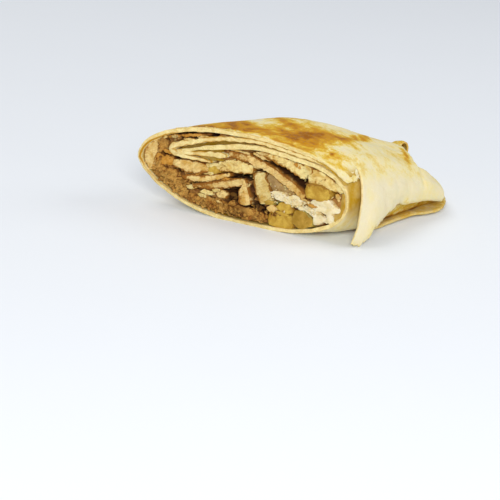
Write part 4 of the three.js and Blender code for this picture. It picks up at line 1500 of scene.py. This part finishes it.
@dataclass(frozen=True)
class Slice:
    """A slice or strip: its line on the cut carried back into the roll.

    ``line`` holds rows of s, z and thickness, ``front`` is how far the face sits behind the cut,
    ``depth`` how far the piece runs back, ``rough`` the height of its relief, ``bulge`` how far its
    face stands out in the middle and ``jag`` how uneven its edge is.
    """

    name: str
    kind: Kind
    front: float
    depth: float
    ripple: float
    line: tuple[Row, ...]
    phase: int
    rough: float = 0.32
    look: Look = Look()
    bulge: float = 0.25
    jag: float = 0.6

    def outline(self, scale: Array) -> Array:
        """Closed outlines on the cut.

        Args:
            scale: One factor of thickness an outline.

        Returns:
            Outlines of s and z.
        """
        line = smooth_line(self.line, self.count())
        line[:, 2] *= self.look.fat
        for end, near in ((0, 3), (-1, -4)):
            way = line[end, :2] - line[near, :2]
            line[end, :2] += way / np.linalg.norm(way) * self.look.grow
        return self.torn(strip(even(line, len(line)), scale, self.ripple, self.phase, self.look.blunt))

    def torn(self, sz: Array) -> Array:
        """Outlines with an uneven edge: noise that moves each place away from or towards the middle.

        Args:
            sz: Outlines on the cut, growing from the middle.

        Returns:
            The outlines, the outermost ones moved most.
        """
        full = len(sz) - 4  # the last ring before the three that close the back
        way = unit(sz[full] - sz[0], 0.6)
        place = np.column_stack([sz[full], np.full(len(way), 7.0 * self.phase)])
        coarse, fine = fractal(place, 2.6, 2, 340 + self.phase), fractal(place, 0.9, 2, 360 + self.phase)
        wave = coarse + 0.55 * fine
        reach = np.linalg.norm(sz - sz[0], axis=-1)
        share = np.clip(reach / np.maximum(reach[full], 1e-3), 0, 1)
        return sz + way[None] * (self.jag * wave)[None, :, None] * share[..., None]

    def count(self) -> int:
        """Points on the line: 3.4 a millimetre, but 30 to 150 in all."""
        length = sum(math.dist(a[:2], b[:2]) for a, b in zip(self.line, self.line[1:]))
        return int(min(150, max(30, length * 3.4)))

    def searing(self, sz: Array, scale: Array) -> Array:
        """Browning of the face: its rim, and the look's four sides, each as a straight gradient.

        Args:
            sz: Outlines on the cut.
            scale: Their scales.

        Returns:
            The browning at each place.
        """
        low, high = sz.reshape(-1, 2).min(axis=0), sz.reshape(-1, 2).max(axis=0)
        across = ((sz - low) / (high - low))[..., 0]
        middle = np.broadcast_to(sz[:1], sz.shape)
        above = np.clip((sz - middle)[..., 1] / 1.5, -1.0, 1.0)
        look = self.look
        sides = look.left * (1.0 - across) ** 2 + look.right * across**2
        sides = sides + look.upper * np.maximum(0.0, above) + look.lower * np.maximum(0.0, -above)
        return 1.05 * scale[:, None] ** 6 + sides

    def relief(self, grid: Array) -> Array:
        """Height of the torn surface: coarse and fine lumps, and narrow clefts where the noise is near 0.

        Args:
            grid: Places.

        Returns:
            Height in millimetres.
        """
        smooth = self.kind in (Kind.SAUCE, Kind.PICKLE, Kind.POTATO)
        coarse = 0.8 * fractal(grid, 3.2, 3, 200 + self.phase)
        fine = (0.08 if smooth else 0.5) * fractal(grid, 1.0, 2, 240 + self.phase)
        cleft = 0.0 if smooth else 0.7 * ease(0.16, 0.0, np.abs(fractal(grid, 4.4, 2, 320 + self.phase)))
        return self.rough * (coarse + fine - cleft - 0.25)

    def build(self) -> Piece:
        """Builds the closed piece: a bulged face grown from its middle line, a worn rim, sides, and a
        blunt back.

        Returns:
            The object.
        """
        face = np.array([0.0, 0.12, 0.24, 0.36, 0.48, 0.6, 0.71, 0.81, 0.9, 0.96])
        depth = np.concatenate([[0.35, 0.8], 1.4 + (self.depth - 2.4) * np.linspace(0.0, 1.0, 26) ** 1.5])
        size = 1.0 - 0.07 * ease(0.0, self.depth, depth)
        scale = np.concatenate([face, [0.985, 1.0], size[2:], [0.7, 0.35, 0.0]])
        back = np.concatenate([0.0 * face, depth, [self.depth] * 3])
        sz = self.outline(scale)
        dome = self.bulge * np.concatenate([1.0 - face**3, np.zeros(len(scale) - len(face))])
        s = sz[..., 0]
        x = ROLL.cut_x(s) + self.front + back[:, None] - dome[:, None] * 0.6 + 0.45
        grid = ROLL.place(s, sz[..., 1], x)
        n = ring_normals(grid)
        near = np.exp(-back / 9.0)[:, None]
        on_face = (np.arange(len(scale)) < len(face))[:, None]
        cut_way = np.array([-math.sin(ROLL.cut_angle), -math.cos(ROLL.cut_angle), 0.0])
        way = np.where(on_face[..., None], 0.75 * cut_way + 0.5 * n * scale[:, None, None], n)
        grid = grid + way * (self.relief(grid) * (0.3 + 0.7 * near))[..., None]
        grid[..., 2] = np.maximum(grid[..., 2], LOWEST)
        rim = np.where(on_face, self.searing(sz, scale), 0.95)
        rim = rim + 0.25 * fractal(grid, 3.0, 2, 280 + self.phase)
        # Painted shade: the piece darkens away from the cut, on top of its own tint.
        tint = self.look.tint + self.look.far * ease(0.3, 2.6, back)[:, None]
        if Kind.CRUMBLED in (self.kind, self.look.kind):
            tint = tint + patchy(grid)
        return ring_piece(self.name, grid, {Mark.RIM: rim, Mark.TINT: tint})


@dataclass(frozen=True)
class Lump(Slice):
    """A lump: an oval round the centre (s, z) of its one row, with half-widths ``wide`` and ``tall``,
    turned by ``lean`` degrees."""

    wide: float = 2.0
    tall: float = 2.0
    lean: float = 0.0

    def outline(self, scale: Array) -> Array:
        """Ovals on the cut with low waves of three and five round them.

        Args:
            scale: One factor of size an oval.

        Returns:
            Outlines of s and z.
        """
        a = np.linspace(0.0, TURN, 72, endpoint=False)
        s, z, _ = self.line[0]
        three = 0.1 * (0.5 + 0.5 * np.sin(3 * a + self.phase))
        r = self.look.fat * (1.0 - three + 0.08 * np.sin(5 * a + 2.0 * self.phase))
        g = np.atleast_1d(scale)[:, None]
        ds, dz = self.wide * r * np.cos(a) * g, self.tall * r * np.sin(a) * g
        c, k = math.cos(math.radians(self.lean)), math.sin(math.radians(self.lean))
        return self.torn(np.stack([s + ds * c - dz * k, z + ds * k + dz * c], -1))


# Name, kind, how far behind the cut, depth, ripple, and the line as rows of s, z and thickness.
SLICES = (
    ("tip_slice", Kind.ROAST, 0.3, 44, 0.1,
     ((8.9, 31, 2), (7, 27.8, 3.7), (5.8, 24, 4.5), (7.1, 19.4, 3.8))),
    ("top_slice", Kind.SEARED, 0.6, 36, 0.15,
     ((15, 34.2, 1.6), (19.6, 35.3, 2), (26, 36.8, 2), (33.6, 38.2, 1.3))),
    ("seared_piece", Kind.SEARED, 0.2, 46, 0.1, ((9.2, 23.2, 4), (13, 23.1, 4.8), (18, 22.4, 3.8))),
    ("left_slice", Kind.PALE, 0.1, 50, 0.08,
     ((19.4, 22.1, 3.6), (25, 21.9, 4.8), (30, 21.9, 5), (34, 22.3, 3.6))),
    ("potato_strip", Kind.PALE, 0.4, 40, 0.06,
     ((41.6, 25.2, 3.6), (46, 25.9, 4.5), (51, 26.1, 4.8), (55.2, 26, 3.6))),
    ("thin_slice", Kind.ROAST, 0.2, 44, 0.1,
     ((23.8, 16.9, 2.8), (29, 17.2, 3.2), (35, 18, 2.6), (45, 21.5, 1.6))),
    ("middle_slice", Kind.PALE, 0, 48, 0.08,
     ((29.6, 13.5, 2), (35, 14.5, 3.3), (43, 16.9, 3.9), (52.4, 19.8, 3.2))),
    ("left_crumble", Kind.CRUMBLED, 0.5, 52, 0.14,
     ((9.6, 18, 3.8), (14, 16.3, 6.6), (19, 14.3, 7.6), (25, 12.3, 3.6))),
    ("bottom_crumble", Kind.CRUMBLED, 0.4, 60, 0.1,
     ((24, 8.3, 3), (34, 6.8, 5.6), (42, 6, 6.2), (52, 5.3, 5.6), (63.6, 4.9, 5))),
    ("wedge_slice", Kind.PALE, 0, 38, 0.05, ((53.4, 20.4, 1.4), (53.5, 15.4, 4), (54.3, 9.6, 6.2))),
    ("upright_slice", Kind.PALE, 0.2, 46, 0.05,
     ((59.9, 25.6, 4.6), (61.6, 19.6, 6.8), (64.4, 12.4, 6.8))),
    ("onion_wedge", Kind.PICKLE, 1.6, 30, 0.06,
     ((66.2, 23.6, 2.4), (69.8, 21.4, 3), (74.6, 19.3, 1.6))),
    ("long_slice", Kind.ROAST, 0, 56, 0.05,
     ((46.3, 31.4, 3.2), (54, 31.2, 3.7), (66, 27.8, 3.8), (75, 23.4, 4), (81.7, 19.6, 3))),
    ("upper_slice", Kind.SEARED, 0.6, 50, 0.06,
     ((58.8, 34.4, 1.6), (64, 34, 3), (70, 32.9, 4), (76, 31.5, 4.8), (81.2, 29.8, 5))),
    ("side_slice", Kind.PALE, 0.8, 44, 0.05, ((85.2, 29, 5.2), (90, 28.2, 4.6), (95.4, 26.4, 2.2))),
    ("potato_chunk", Kind.POTATO, 0, 36, 0.04, ((83.8, 22.3, 4.4), (88.4, 22.4, 5), (93.2, 22, 4))),
    ("sauce_strip", Kind.SAUCE, 0.3, 40, 0.08, ((83.6, 14.1, 2.1), (88.4, 12.2, 2.4), (93.8, 10.4, 1.6))),
    ("pickle", Kind.PICKLE, 0, 30, 0.03, ((79.2, 8.9, 5.4), (82.4, 8.3, 7.7), (86.7, 7.9, 3.3))),
    ("golden_slab", Kind.POTATO, 0.6, 50, 0.04, ((66.9, 5.3, 4.8), (71, 5.3, 5.5), (77, 5.7, 4.6))),
)

# Name, kind, how far behind the cut, depth, middle and half-widths; the bits also have a lean.
LUMPS = (
    ("tip_lump", Kind.ROAST, 0, 30, 12.3, 29.9, 2.2, 3),
    ("potato_corner", Kind.POTATO, 0.4, 34, 37.5, 22.8, 2.7, 2),
    ("crumb_pale", Kind.PALE, 0.2, 16, 35.8, 11.3, 2.8, 1.3),
    ("crumb_pink", Kind.ROAST, 0.6, 18, 42.5, 11.5, 2.4, 1.7),
    ("crumb_brown", Kind.SEARED, 1.4, 20, 47.8, 11.6, 1.8, 2.4),
    ("crumb_dark", Kind.SEARED, 1.2, 22, 61.4, 9.1, 1.8, 0.9),
    ("crumb_ruddy", Kind.ROAST, 0.4, 24, 67.6, 10.2, 2, 1.4),
    ("crumb_white", Kind.SAUCE, 0, 24, 71.4, 16.9, 3, 1.85),
    ("crumb_yellow", Kind.POTATO, 0.3, 26, 73.6, 11.9, 3.4, 2.5),
    ("sauce_dab", Kind.SAUCE, 0, 14, 78.3, 16.6, 3.2, 2.2),
    ("sauce_pool", Kind.SAUCE, 0.2, 42, 92.5, 16.2, 7.2, 3),
)

BITS = (
    ("bit_pink", Kind.ROAST, -0.2, 5, 42.3, 8, 2, 1.1, -25),
    ("bit_orange", Kind.SEARED, -0.1, 4, 44.8, 6.2, 1.3, 0.8, 10),
    ("bit_tan", Kind.PALE, 0.1, 8, 27.6, 12.4, 2.6, 0.9, 12),
    ("bit_low", Kind.PALE, 0, 7, 33.5, 9.6, 2.4, 0.8, -8),
    ("bit_nib", Kind.PALE, 0.2, 7, 39.8, 13.3, 1.9, 0.8, 12),
    ("bit_edge", Kind.CRUMBLED, -0.1, 6, 21.2, 16.9, 1.7, 1.2, 60),
    ("bit_heap", Kind.CRUMBLED, -0.2, 6, 48.4, 8.7, 1.6, 1.3, 30),
    ("bit_brown", Kind.SEARED, -0.1, 5, 87.4, 15.9, 2.7, 0.75, -8),
    ("bit_cheek", Kind.ROAST, -0.2, 5, 83.6, 17.6, 2.7, 0.75, -14),
    ("bit_hook", Kind.ROAST, 0, 6, 80.6, 19.6, 1.5, 0.8, -65),
    ("bit_stem", Kind.PICKLE, 0, 6, 66.2, 13, 2.1, 1.1, 8),
    ("bit_root", Kind.SEARED, 0.6, 7, 68.4, 8.7, 2.3, 0.7, 4),
    ("bit_crown", Kind.SEARED, 0.2, 6, 78.3, 32.6, 1.7, 1, -20),
    ("bit_leaf", Kind.SAUCE, -0.3, 4, 69.4, 18.3, 2.2, 0.8, 10),
    ("bit_cream", Kind.SAUCE, -0.4, 4, 74.6, 15.6, 2, 0.9, -30),
    ("bit_froth", Kind.SAUCE, 0.2, 6, 95, 12.6, 1.6, 3.4, 24),
    ("bit_foam", Kind.SAUCE, 0.4, 6, 90, 9.8, 3.4, 1.6, 30),
    ("bit_gold", Kind.POTATO, -0.1, 5, 73, 9.1, 3, 0.8, -8),
    ("bit_slip", Kind.ROAST, 0.3, 8, 50.8, 33.3, 4.4, 0.6, -3),
    ("bit_tip", Kind.SEARED, 0.2, 7, 14.6, 27.2, 2.3, 0.8, -12),
    ("bit_roof", Kind.ROAST, 0.2, 7, 24.6, 34.6, 3.2, 0.6, 12),
    ("bit_fill", Kind.POTATO, 0.8, 9, 37.6, 22.4, 3, 1.8, 0),
    ("bit_wall", Kind.PALE, 0.6, 8, 11.4, 33, 2.6, 1.2, 35),
    ("bit_shelf", Kind.PALE, 1, 9, 97.6, 26.6, 2.4, 1.5, -42),
    ("bit_nook", Kind.ROAST, 1.3, 9, 97, 22.2, 1.6, 1, -55),
    ("bit_joint", Kind.ROAST, 1, 8, 57.6, 22.8, 1.2, 0.7, 20),
    ("bit_link", Kind.ROAST, 0.5, 8, 57.2, 28, 2.4, 0.8, -24),
    ("bit_skin", Kind.ROAST, 0.4, 7, 60, 33, 3.6, 0.6, -14),
    ("bit_bridge", Kind.PALE, 0.7, 9, 82, 31.4, 2.2, 1.8, -15),
    ("bit_smear", Kind.SAUCE, 0.4, 7, 82.2, 13.2, 2.6, 1, -20),
    ("bit_dollop", Kind.SAUCE, 0.1, 7, 92.6, 18.4, 3.2, 1.9, -20),
    ("bit_pale", Kind.SAUCE, 0, 7, 89.4, 18, 2.6, 1.2, -12),
    ("bit_rag", Kind.ROAST, 0.5, 9, 31.4, 36.7, 2.6, 0.8, 10),
    ("bit_span", Kind.PALE, 0.2, 9, 38.6, 24.6, 4.2, 1.2, 8),
    ("bit_tab", Kind.PALE, 0.6, 9, 35, 20.6, 3.4, 0.9, 4),
    ("bit_shred", Kind.ROAST, 0.2, 8, 20.6, 31.6, 2, 0.8, 48),
    ("bit_chip", Kind.CRUMBLED, 0.6, 8, 23.4, 19.4, 2.2, 0.9, -12),
    ("bit_rust", Kind.SEARED, 0.5, 8, 30, 19.2, 3.4, 0.5, 6),
    ("bit_ember", Kind.SEARED, 0, 7, 44.2, 19.4, 2.8, 0.55, 12),
)

# Height of the relief and unevenness of the edge by kind, in millimetres.
ROUGHNESS = {
    Kind.PALE: 0.5, Kind.ROAST: 0.48, Kind.SEARED: 0.8, Kind.CRUMBLED: 1.1,
    Kind.POTATO: 0.3, Kind.SAUCE: 0.28, Kind.PICKLE: 0.12,
}
TORN = {
    Kind.PALE: 0.74, Kind.ROAST: 0.62, Kind.SEARED: 0.85, Kind.CRUMBLED: 0.9,
    Kind.POTATO: 0.35, Kind.SAUCE: 0.4, Kind.PICKLE: 0.18,
}

# Gaps between the pieces on the cut, sunk into the packed meat and darkened there as painted shade:
# middle in s and z, half-widths and turn.
HOLLOWS = tuple(Oval(*row) for row in (
    (50.5, 22.3, 8.5, 1.9, 4), (62, 32, 8.5, 1.8, -17), (72.5, 28, 8.5, 2.8, -25),
    (81, 24.8, 4.2, 2.8, -50), (50, 12.5, 6, 3.6, -35), (52.5, 8.6, 4.6, 2.4, -30), (45, 12.6, 5, 2, 10),
    (58.4, 14.5, 6.5, 1.8, -66), (60.8, 8.4, 5.4, 2, -22), (94.6, 24, 2.5, 2, -20),
    (21.2, 17.3, 3.6, 2.4, -35), (14, 25.8, 4.8, 1.7, -10), (22.5, 34.8, 3.4, 2.2, 35),
    (33, 37.6, 2.6, 1.6, 20), (28, 36.4, 4.4, 1.2, 15), (27.5, 14.2, 3.5, 1.3, 15),
    (33, 11.3, 3.8, 1.5, 8), (36, 17.6, 9.5, 1.3, 16), (67.5, 11.8, 4.2, 1.4, 15), (24, 19.6, 6, 1.1, 5),
    (35.5, 8.4, 4, 0.9, -5), (58.6, 27.6, 3, 2.2, -20), (17.5, 30, 3, 1.4, 60), (37.8, 22.4, 1.2, 3, 0),
    (22.4, 19.2, 3, 1.6, -60), (17.6, 17.4, 1.6, 1, 0), (44.6, 9.8, 2.6, 1.2, -20),
    (56.6, 6.4, 2.6, 1, -30), (63.8, 7, 2.6, 1.3, -40), (65.6, 5.6, 1.8, 1, 30), (24, 34.9, 3.6, 1.3, 22),
    (35.6, 38, 1.8, 1.4, 0), (49, 10.4, 4.6, 2.6, -40),
))


def gap_depth(sz: Array) -> Array:
    """How deep in a gap each place lies: the highest of exp(-(distance in half-widths) ** 4).

    Args:
        sz: Places on the cut.

    Returns:
        0 away from the gaps to 1 in their middles.
    """
    deep = np.zeros(sz.shape[:-1])
    for gap in HOLLOWS:
        deep = np.maximum(deep, np.exp(-(gap.far(sz[..., 0] - gap.x, sz[..., 1] - gap.y) ** 2)))
    return deep


def patchy(points: Array) -> Array:
    """Shade of crumbled meat that changes from place to place: noise over 0 in cells of 4.6 mm."""
    return 0.62 * np.clip(fractal(points, 4.6, 2, 431) + 0.05, 0.0, 1.0)


@dataclass
class Filling:
    """Everything inside the bread that shows at the cut: a piece for each solid, bits and packed meat."""

    slices: tuple = SLICES
    lumps: tuple = LUMPS
    bits: tuple = BITS
    around: int = 420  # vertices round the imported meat
    face_rings: int = 110
    side_rings: int = 14
    inset: float = 2.6  # how far inside the outline it lies
    behind: float = 2.4  # how far behind the cut
    depth: float = 50.0
    hollow: float = 7.6  # depth of its deepest gaps

    def manner(self, name: str, kind: Kind) -> dict[str, object]:
        """Look, roughness and unevenness of a piece.

        Args:
            name: Its name in the record.
            kind: Its kind, unless the look names another one.

        Returns:
            Fields of a slice or lump.
        """
        look = LOOKS.get(name, Look())
        like = look.kind or kind
        return {"rough": ROUGHNESS[like], "look": look, "jag": TORN[like]}

    def parts(self) -> list[Slice]:
        """The slices and lumps with their sizes, finishes and looks.

        Returns:
            The pieces that stand for solids.
        """
        made: list[Slice] = []
        for i, (name, kind, front, depth, ripple, line) in enumerate(self.slices):
            own = self.manner(name, kind)
            made.append(Slice(name + "_cut", kind, front, depth, ripple, line, i, **own))
        for i, (name, kind, front, depth, s, z, wide, tall) in enumerate(self.lumps):
            own = {"wide": wide, "tall": tall, "bulge": 0.3, **self.manner(name, kind)}
            made.append(Lump(name + "_cut", kind, front, depth, 0.0, ((s, z, 1.0),), i, **own))
        return made

    def small(self) -> list[Slice]:
        """The small bits that lie between the larger pieces.

        Returns:
            The bits.
        """
        made: list[Slice] = []
        for i, (name, kind, front, depth, s, z, wide, tall, lean) in enumerate(self.bits):
            own = {"rough": ROUGHNESS[kind] * 0.8, "look": Look(tint=0.1), "bulge": 0.5, "jag": TORN[kind]}
            half = {"wide": wide, "tall": tall, "lean": lean}
            made.append(Lump(name, kind, front, depth, 0.0, ((s, z, 1.0),), 40 + i, **half, **own))
        return made

    def packing(self) -> Piece:
        """Crumbly meat that fills the roll behind the pieces, in colours darkened as painted shade, with
        hollows that open between them, sunk and darkened further with painted shade.

        Returns:
            The object.
        """
        a = np.linspace(0.0, TURN, self.around, endpoint=False)
        rim = ROLL.outline(a, self.inset)
        middle = np.array([ROLL.cut_length / 2, ROLL.mid_height])
        face = np.linspace(0.0, 1.0, self.face_rings) ** 0.85
        scale = np.concatenate([face, 1.0 - 0.05 * np.linspace(0.0, 1.0, self.side_rings), [0.6, 0.3, 0.0]])
        side = np.linspace(1.0, self.depth, self.side_rings)
        back = np.concatenate([np.zeros(self.face_rings), side, [self.depth] * 3])
        sz = middle + (rim - middle)[None] * scale[:, None, None]
        on_face = ease(3.0, 0.0, back)[:, None]
        place = np.dstack([sz, np.zeros(sz.shape[:-1])])
        wander = np.stack([fractal(place, 2.0, 2, 521), fractal(place, 2.0, 2, 523)], -1)
        deep = gap_depth(sz + 0.5 * wander)
        lumps = 0.7 * fractal(place, 4.0, 3, 501) + 0.45 * fractal(place, 1.3, 2, 507)
        sunk = (self.hollow * deep - lumps) * on_face
        x = ROLL.cut_x(sz[..., 0]) + self.behind + sunk + back[:, None]
        grid = ROLL.place(sz[..., 0], sz[..., 1], x)
        rim_mark = 0.5 + 0.5 * fractal(place, 3.0, 2, 511)
        # Patchy darker tone, and painted shade that deepens in the hollows.
        tint = 0.16 + 0.4 * fractal(place, 5.0, 2, 515) + 1.3 * deep
        marks = {Mark.RIM: rim_mark, Mark.TINT: np.clip(tint, 0.0, 1.1)}
        return ring_piece("packed_meat", grid, marks)

    def build(self, palette: Palette) -> None:
        """Builds and dresses each piece of the filling.

        Args:
            palette: The finishes.
        """
        for part in self.parts():
            node = part.name.removesuffix("_cut")
            settle(part.build(), palette.of(part.look.kind or part.kind, node), part.kind.value, [node])
        for part in self.small():
            settle(part.build(), palette.of(part.kind), part.kind.value)
        settle(self.packing(), palette.shaded, Kind.CRUMBLED.value)


@dataclass(frozen=True)
class CrumbField:
    """A strip of the cut on which loose crumbs lie.

    ``line`` holds rows of s and z, ``spread`` is how far the crumbs stray from it in height, ``size``
    their least and greatest radius and ``depth`` how far behind the cut they lie.
    """

    name: str
    kind: Kind
    line: tuple[tuple[float, float], ...]
    spread: float
    count: int
    size: tuple[float, float]
    depth: tuple[float, float]
    seed: int
    tint: float = 0.3

    def ball(self) -> tuple[Array, Array]:
        """Unit ball of 6 by 8 quads, its poles closed.

        Returns:
            Points and faces.
        """
        rings, around = 6, 8
        lat = np.linspace(0.0, math.pi, rings)[:, None]
        lon = np.linspace(0.0, TURN, around, endpoint=False)[None, :]
        p = np.stack([np.sin(lat) * np.cos(lon), np.sin(lat) * np.sin(lon), np.cos(lat) + 0 * lon], -1)
        return p.reshape(-1, 3), ring_quads(rings, around)

    def inside(self, at: Array) -> Array:
        """Pulls places that lie in the bread back towards the middle, to 3 mm inside the roll's outline.

        Args:
            at: Places on the cut.

        Returns:
            The places.
        """
        middle = np.array([ROLL.cut_length / 2, ROLL.mid_height])
        rim = ROLL.outline(np.linspace(0.0, TURN, 721), 3.0) - middle
        turn, reach = np.arctan2(rim[:, 1], rim[:, 0]), np.linalg.norm(rim, axis=1)
        way = at - middle
        limit = np.interp(np.arctan2(way[:, 1], way[:, 0]), turn, reach, period=TURN)
        return middle + way * np.minimum(1.0, limit / np.linalg.norm(way, axis=1))[:, None]

    def build(self) -> Piece:
        """Builds one joined mesh of uneven crumbs, each a ball pulled by noise.

        Returns:
            The object.
        """
        rng = np.random.default_rng(self.seed)
        ball, faces = self.ball()
        at = even(np.array(self.line, float), 200)[rng.integers(0, 200, self.count)]
        at = self.inside(at + rng.normal(0.0, [0.8, self.spread], (self.count, 2)))
        sizes = rng.uniform(*self.size, self.count) * rng.uniform(0.6, 1.0, self.count)
        back = rng.uniform(*self.depth, self.count) + 6.0 * gap_depth(at)
        middle = ROLL.place(at[:, 0], at[:, 1], ROLL.cut_x(at[:, 0]) + back)
        stretch = rng.uniform(0.6, 1.5, (self.count, 1, 3))
        spin = rng.uniform(0.0, TURN, self.count)
        shape = ball[None] * stretch
        c, s = np.cos(spin)[:, None], np.sin(spin)[:, None]
        x, y, z = np.moveaxis(shape, -1, 0)
        turned = np.stack([x * c - z * s, y, x * s + z * c], -1)
        pull = lattice(turned * 1.4 + rng.uniform(0, 90, (self.count, 1, 3)), 1.0, self.seed)
        turned = turned * (1.0 + 0.35 * pull)[..., None]
        points = middle[:, None] + turned * sizes[:, None, None]
        points[..., 2] = np.maximum(points[..., 2], LOWEST)
        quads = copied_quads(faces, self.count, len(ball))
        tone = self.tint + rng.normal(0.0, 0.26, self.count) + patchy(middle)
        tone = np.clip(tone, 0.0, 1.0)[:, None] * np.ones(len(ball))
        rim = rng.uniform(0.1, 0.85, self.count)[:, None] * np.ones(len(ball))
        return make_piece(self.name, points, quads, {Mark.TINT: tone, Mark.RIM: rim})


CRUMB_FIELDS = tuple(CrumbField(*row) for row in (
    ("crumbs_left", Kind.CRUMBLED, ((9, 19), (13, 16.6), (19, 13.8), (25, 11)),
     1.9, 400, (0.3, 1.15), (0.2, 1.5), 11, 0),
    ("crumbs_bottom", Kind.CRUMBLED, ((23, 7.8), (34, 6.3), (48, 5.8), (64, 5.4)),
     1.3, 640, (0.28, 1), (0.1, 1.3), 12, 0),
    ("crumbs_cavity", Kind.SEARED, ((42, 12), (47, 11), (51, 9.5), (50, 13)),
     1.4, 90, (0.4, 1.1), (2.6, 6), 13, 0.7),
    ("crumbs_top", Kind.ROAST, ((16, 33.8), (22, 35.6), (30, 36.9), (35, 37.4)),
     0.8, 60, (0.4, 1.1), (0.6, 3.4), 14, 0.4),
    ("crumbs_wedge", Kind.CRUMBLED, ((57.5, 7.4), (62, 6.8), (67, 7.4), (72, 9.2)),
     0.6, 80, (0.3, 0.85), (0.5, 2.6), 15, 0.2),
    ("crumbs_scatter", Kind.PALE, ((18, 20), (40, 19), (60, 20), (80, 24), (94, 24)),
     5.5, 220, (0.25, 0.8), (1, 3), 18, 0.15),
    ("crumbs_tip", Kind.ROAST, ((10.5, 27.2), (15, 26.4), (19, 25.6)),
     0.8, 50, (0.3, 0.8), (0.8, 3), 16, 0.5),
    ("sauce_specks", Kind.SAUCE, ((68, 16.5), (73, 15), (80, 15.5), (86, 14), (94, 12.5)),
     1.9, 46, (0.3, 0.8), (-0.2, 1), 17, 0.1),
))


@dataclass
class Crumbs:
    """Loose crumbs and specks of sauce round the filling."""

    fields: tuple[CrumbField, ...] = CRUMB_FIELDS

    def build(self, palette: Palette) -> None:
        """Builds and dresses each field."""
        for patch in self.fields:
            settle(patch.build(), palette.of(patch.kind), patch.kind.value)


# ---------------------------------------------------------------- table, light and camera


@dataclass
class Studio:
    """Pale floor, soft light and the camera."""

    target: Row = (-32.2354, -6.4931, 19.65)
    azimuth: float = -28.0
    elevation: float = 20.0
    roll: float = 5.0
    distance: float = 750.0
    lens: float = 120.0
    sensor: float = 36.0
    clip: tuple[float, float] = (0.01, 20.0)
    shift: tuple[float, float] = (-0.024, -0.126)
    sky: Row = (0.96, 0.975, 1.0)
    sky_strength: float = 0.42
    aim: Row = (0.0, 0.0, 20.0)
    lights: tuple = (  # name, place, width, power and colour
        ("key", (-380.0, 480.0, 1300.0), 850.0, 5.8, (1.0, 0.98, 0.95)),
        ("front", (-420.0, -880.0, 560.0), 460.0, 7.5, (1.0, 0.985, 0.96)),
        ("side", (800.0, -300.0, 600.0), 500.0, 2.2, (0.97, 0.985, 1.0)),
    )
    floor_size: float = 4.0  # half its width in metres

    def axes(self) -> tuple[Vector, Vector, Vector]:
        """Right, up and backward directions of the camera, turned by its roll.

        Returns:
            The three directions.
        """
        a, e, r = (math.radians(v) for v in (self.azimuth, self.elevation, self.roll))
        back = Vector((math.sin(a) * math.cos(e), -math.cos(a) * math.cos(e), math.sin(e)))
        right = Vector((math.cos(a), math.sin(a), 0.0))
        up = back.cross(right)
        return math.cos(r) * right + math.sin(r) * up, math.cos(r) * up - math.sin(r) * right, back

    def camera(self) -> None:
        """Makes the scene's camera."""
        right, up, back = self.axes()
        data = bpy.data.cameras.new("camera")
        data.lens, data.sensor_width = self.lens, self.sensor
        data.shift_x, data.shift_y = self.shift
        data.clip_start, data.clip_end = self.clip
        obj = new_object("camera", data)
        turn = Matrix((right, up, back)).transposed().to_4x4()
        obj.matrix_world = Matrix.Translation((Vector(self.target) + back * self.distance) * MM) @ turn
        bpy.context.scene.camera = obj

    def floor(self) -> None:
        """Wide plain floor with a faint grain."""
        mesh = bpy.data.meshes.new("floor")
        size = self.floor_size
        corners = [(-size, -size, 0), (size, -size, 0), (size, size, 0), (-size, size, 0)]
        mesh.from_pydata(corners, [], [(0, 1, 2, 3)])
        g = Finish("pale_floor")
        tone = g.mix(g.noise(g.place, 0.02, 3.0), (0.82, 0.855, 0.905, 1.0), (0.83, 0.865, 0.915, 1.0))
        g.feed(Base_Color=tone, Roughness=0.75, Specular_IOR_Level=0.25)
        mesh.materials.append(g.material)
        obj = new_object("floor", mesh)

    def light(self) -> None:
        """Soft area lights that face the wrap, and an even pale sky."""
        for name, place, size, power, tint in self.lights:
            data = bpy.data.lights.new(name, "AREA")
            data.shape, data.size, data.energy, data.color = "DISK", size * MM, power, tint
            obj = new_object(name, data)
            obj.location = Vector(place) * MM
            obj.rotation_mode = "QUATERNION"
            obj.rotation_quaternion = (obj.location - Vector(self.aim) * MM).to_track_quat("Z", "Y")
        world = bpy.data.worlds.new("sky")
        world.use_nodes = True
        shade = world.node_tree.nodes["Background"]
        shade.inputs["Color"].default_value = (*self.sky, 1.0)
        shade.inputs["Strength"].default_value = self.sky_strength
        bpy.context.scene.world = world

    def build(self) -> None:
        """Makes the camera, floor and light, and keeps the colours as they are lit."""
        self.camera()
        self.floor()
        self.light()
        bpy.context.scene.view_settings.view_transform = "Standard"


def main() -> None:
    """Builds the studio, the bread, the filling and the crumbs in order."""
    logging.basicConfig(level=logging.INFO, format="%(name)s %(message)s")
    Studio().build()
    palette = Palette()
    Flatbread().build(palette)
    Filling().build(palette)
    Crumbs().build(palette)


if __name__ == "__main__":
    main()
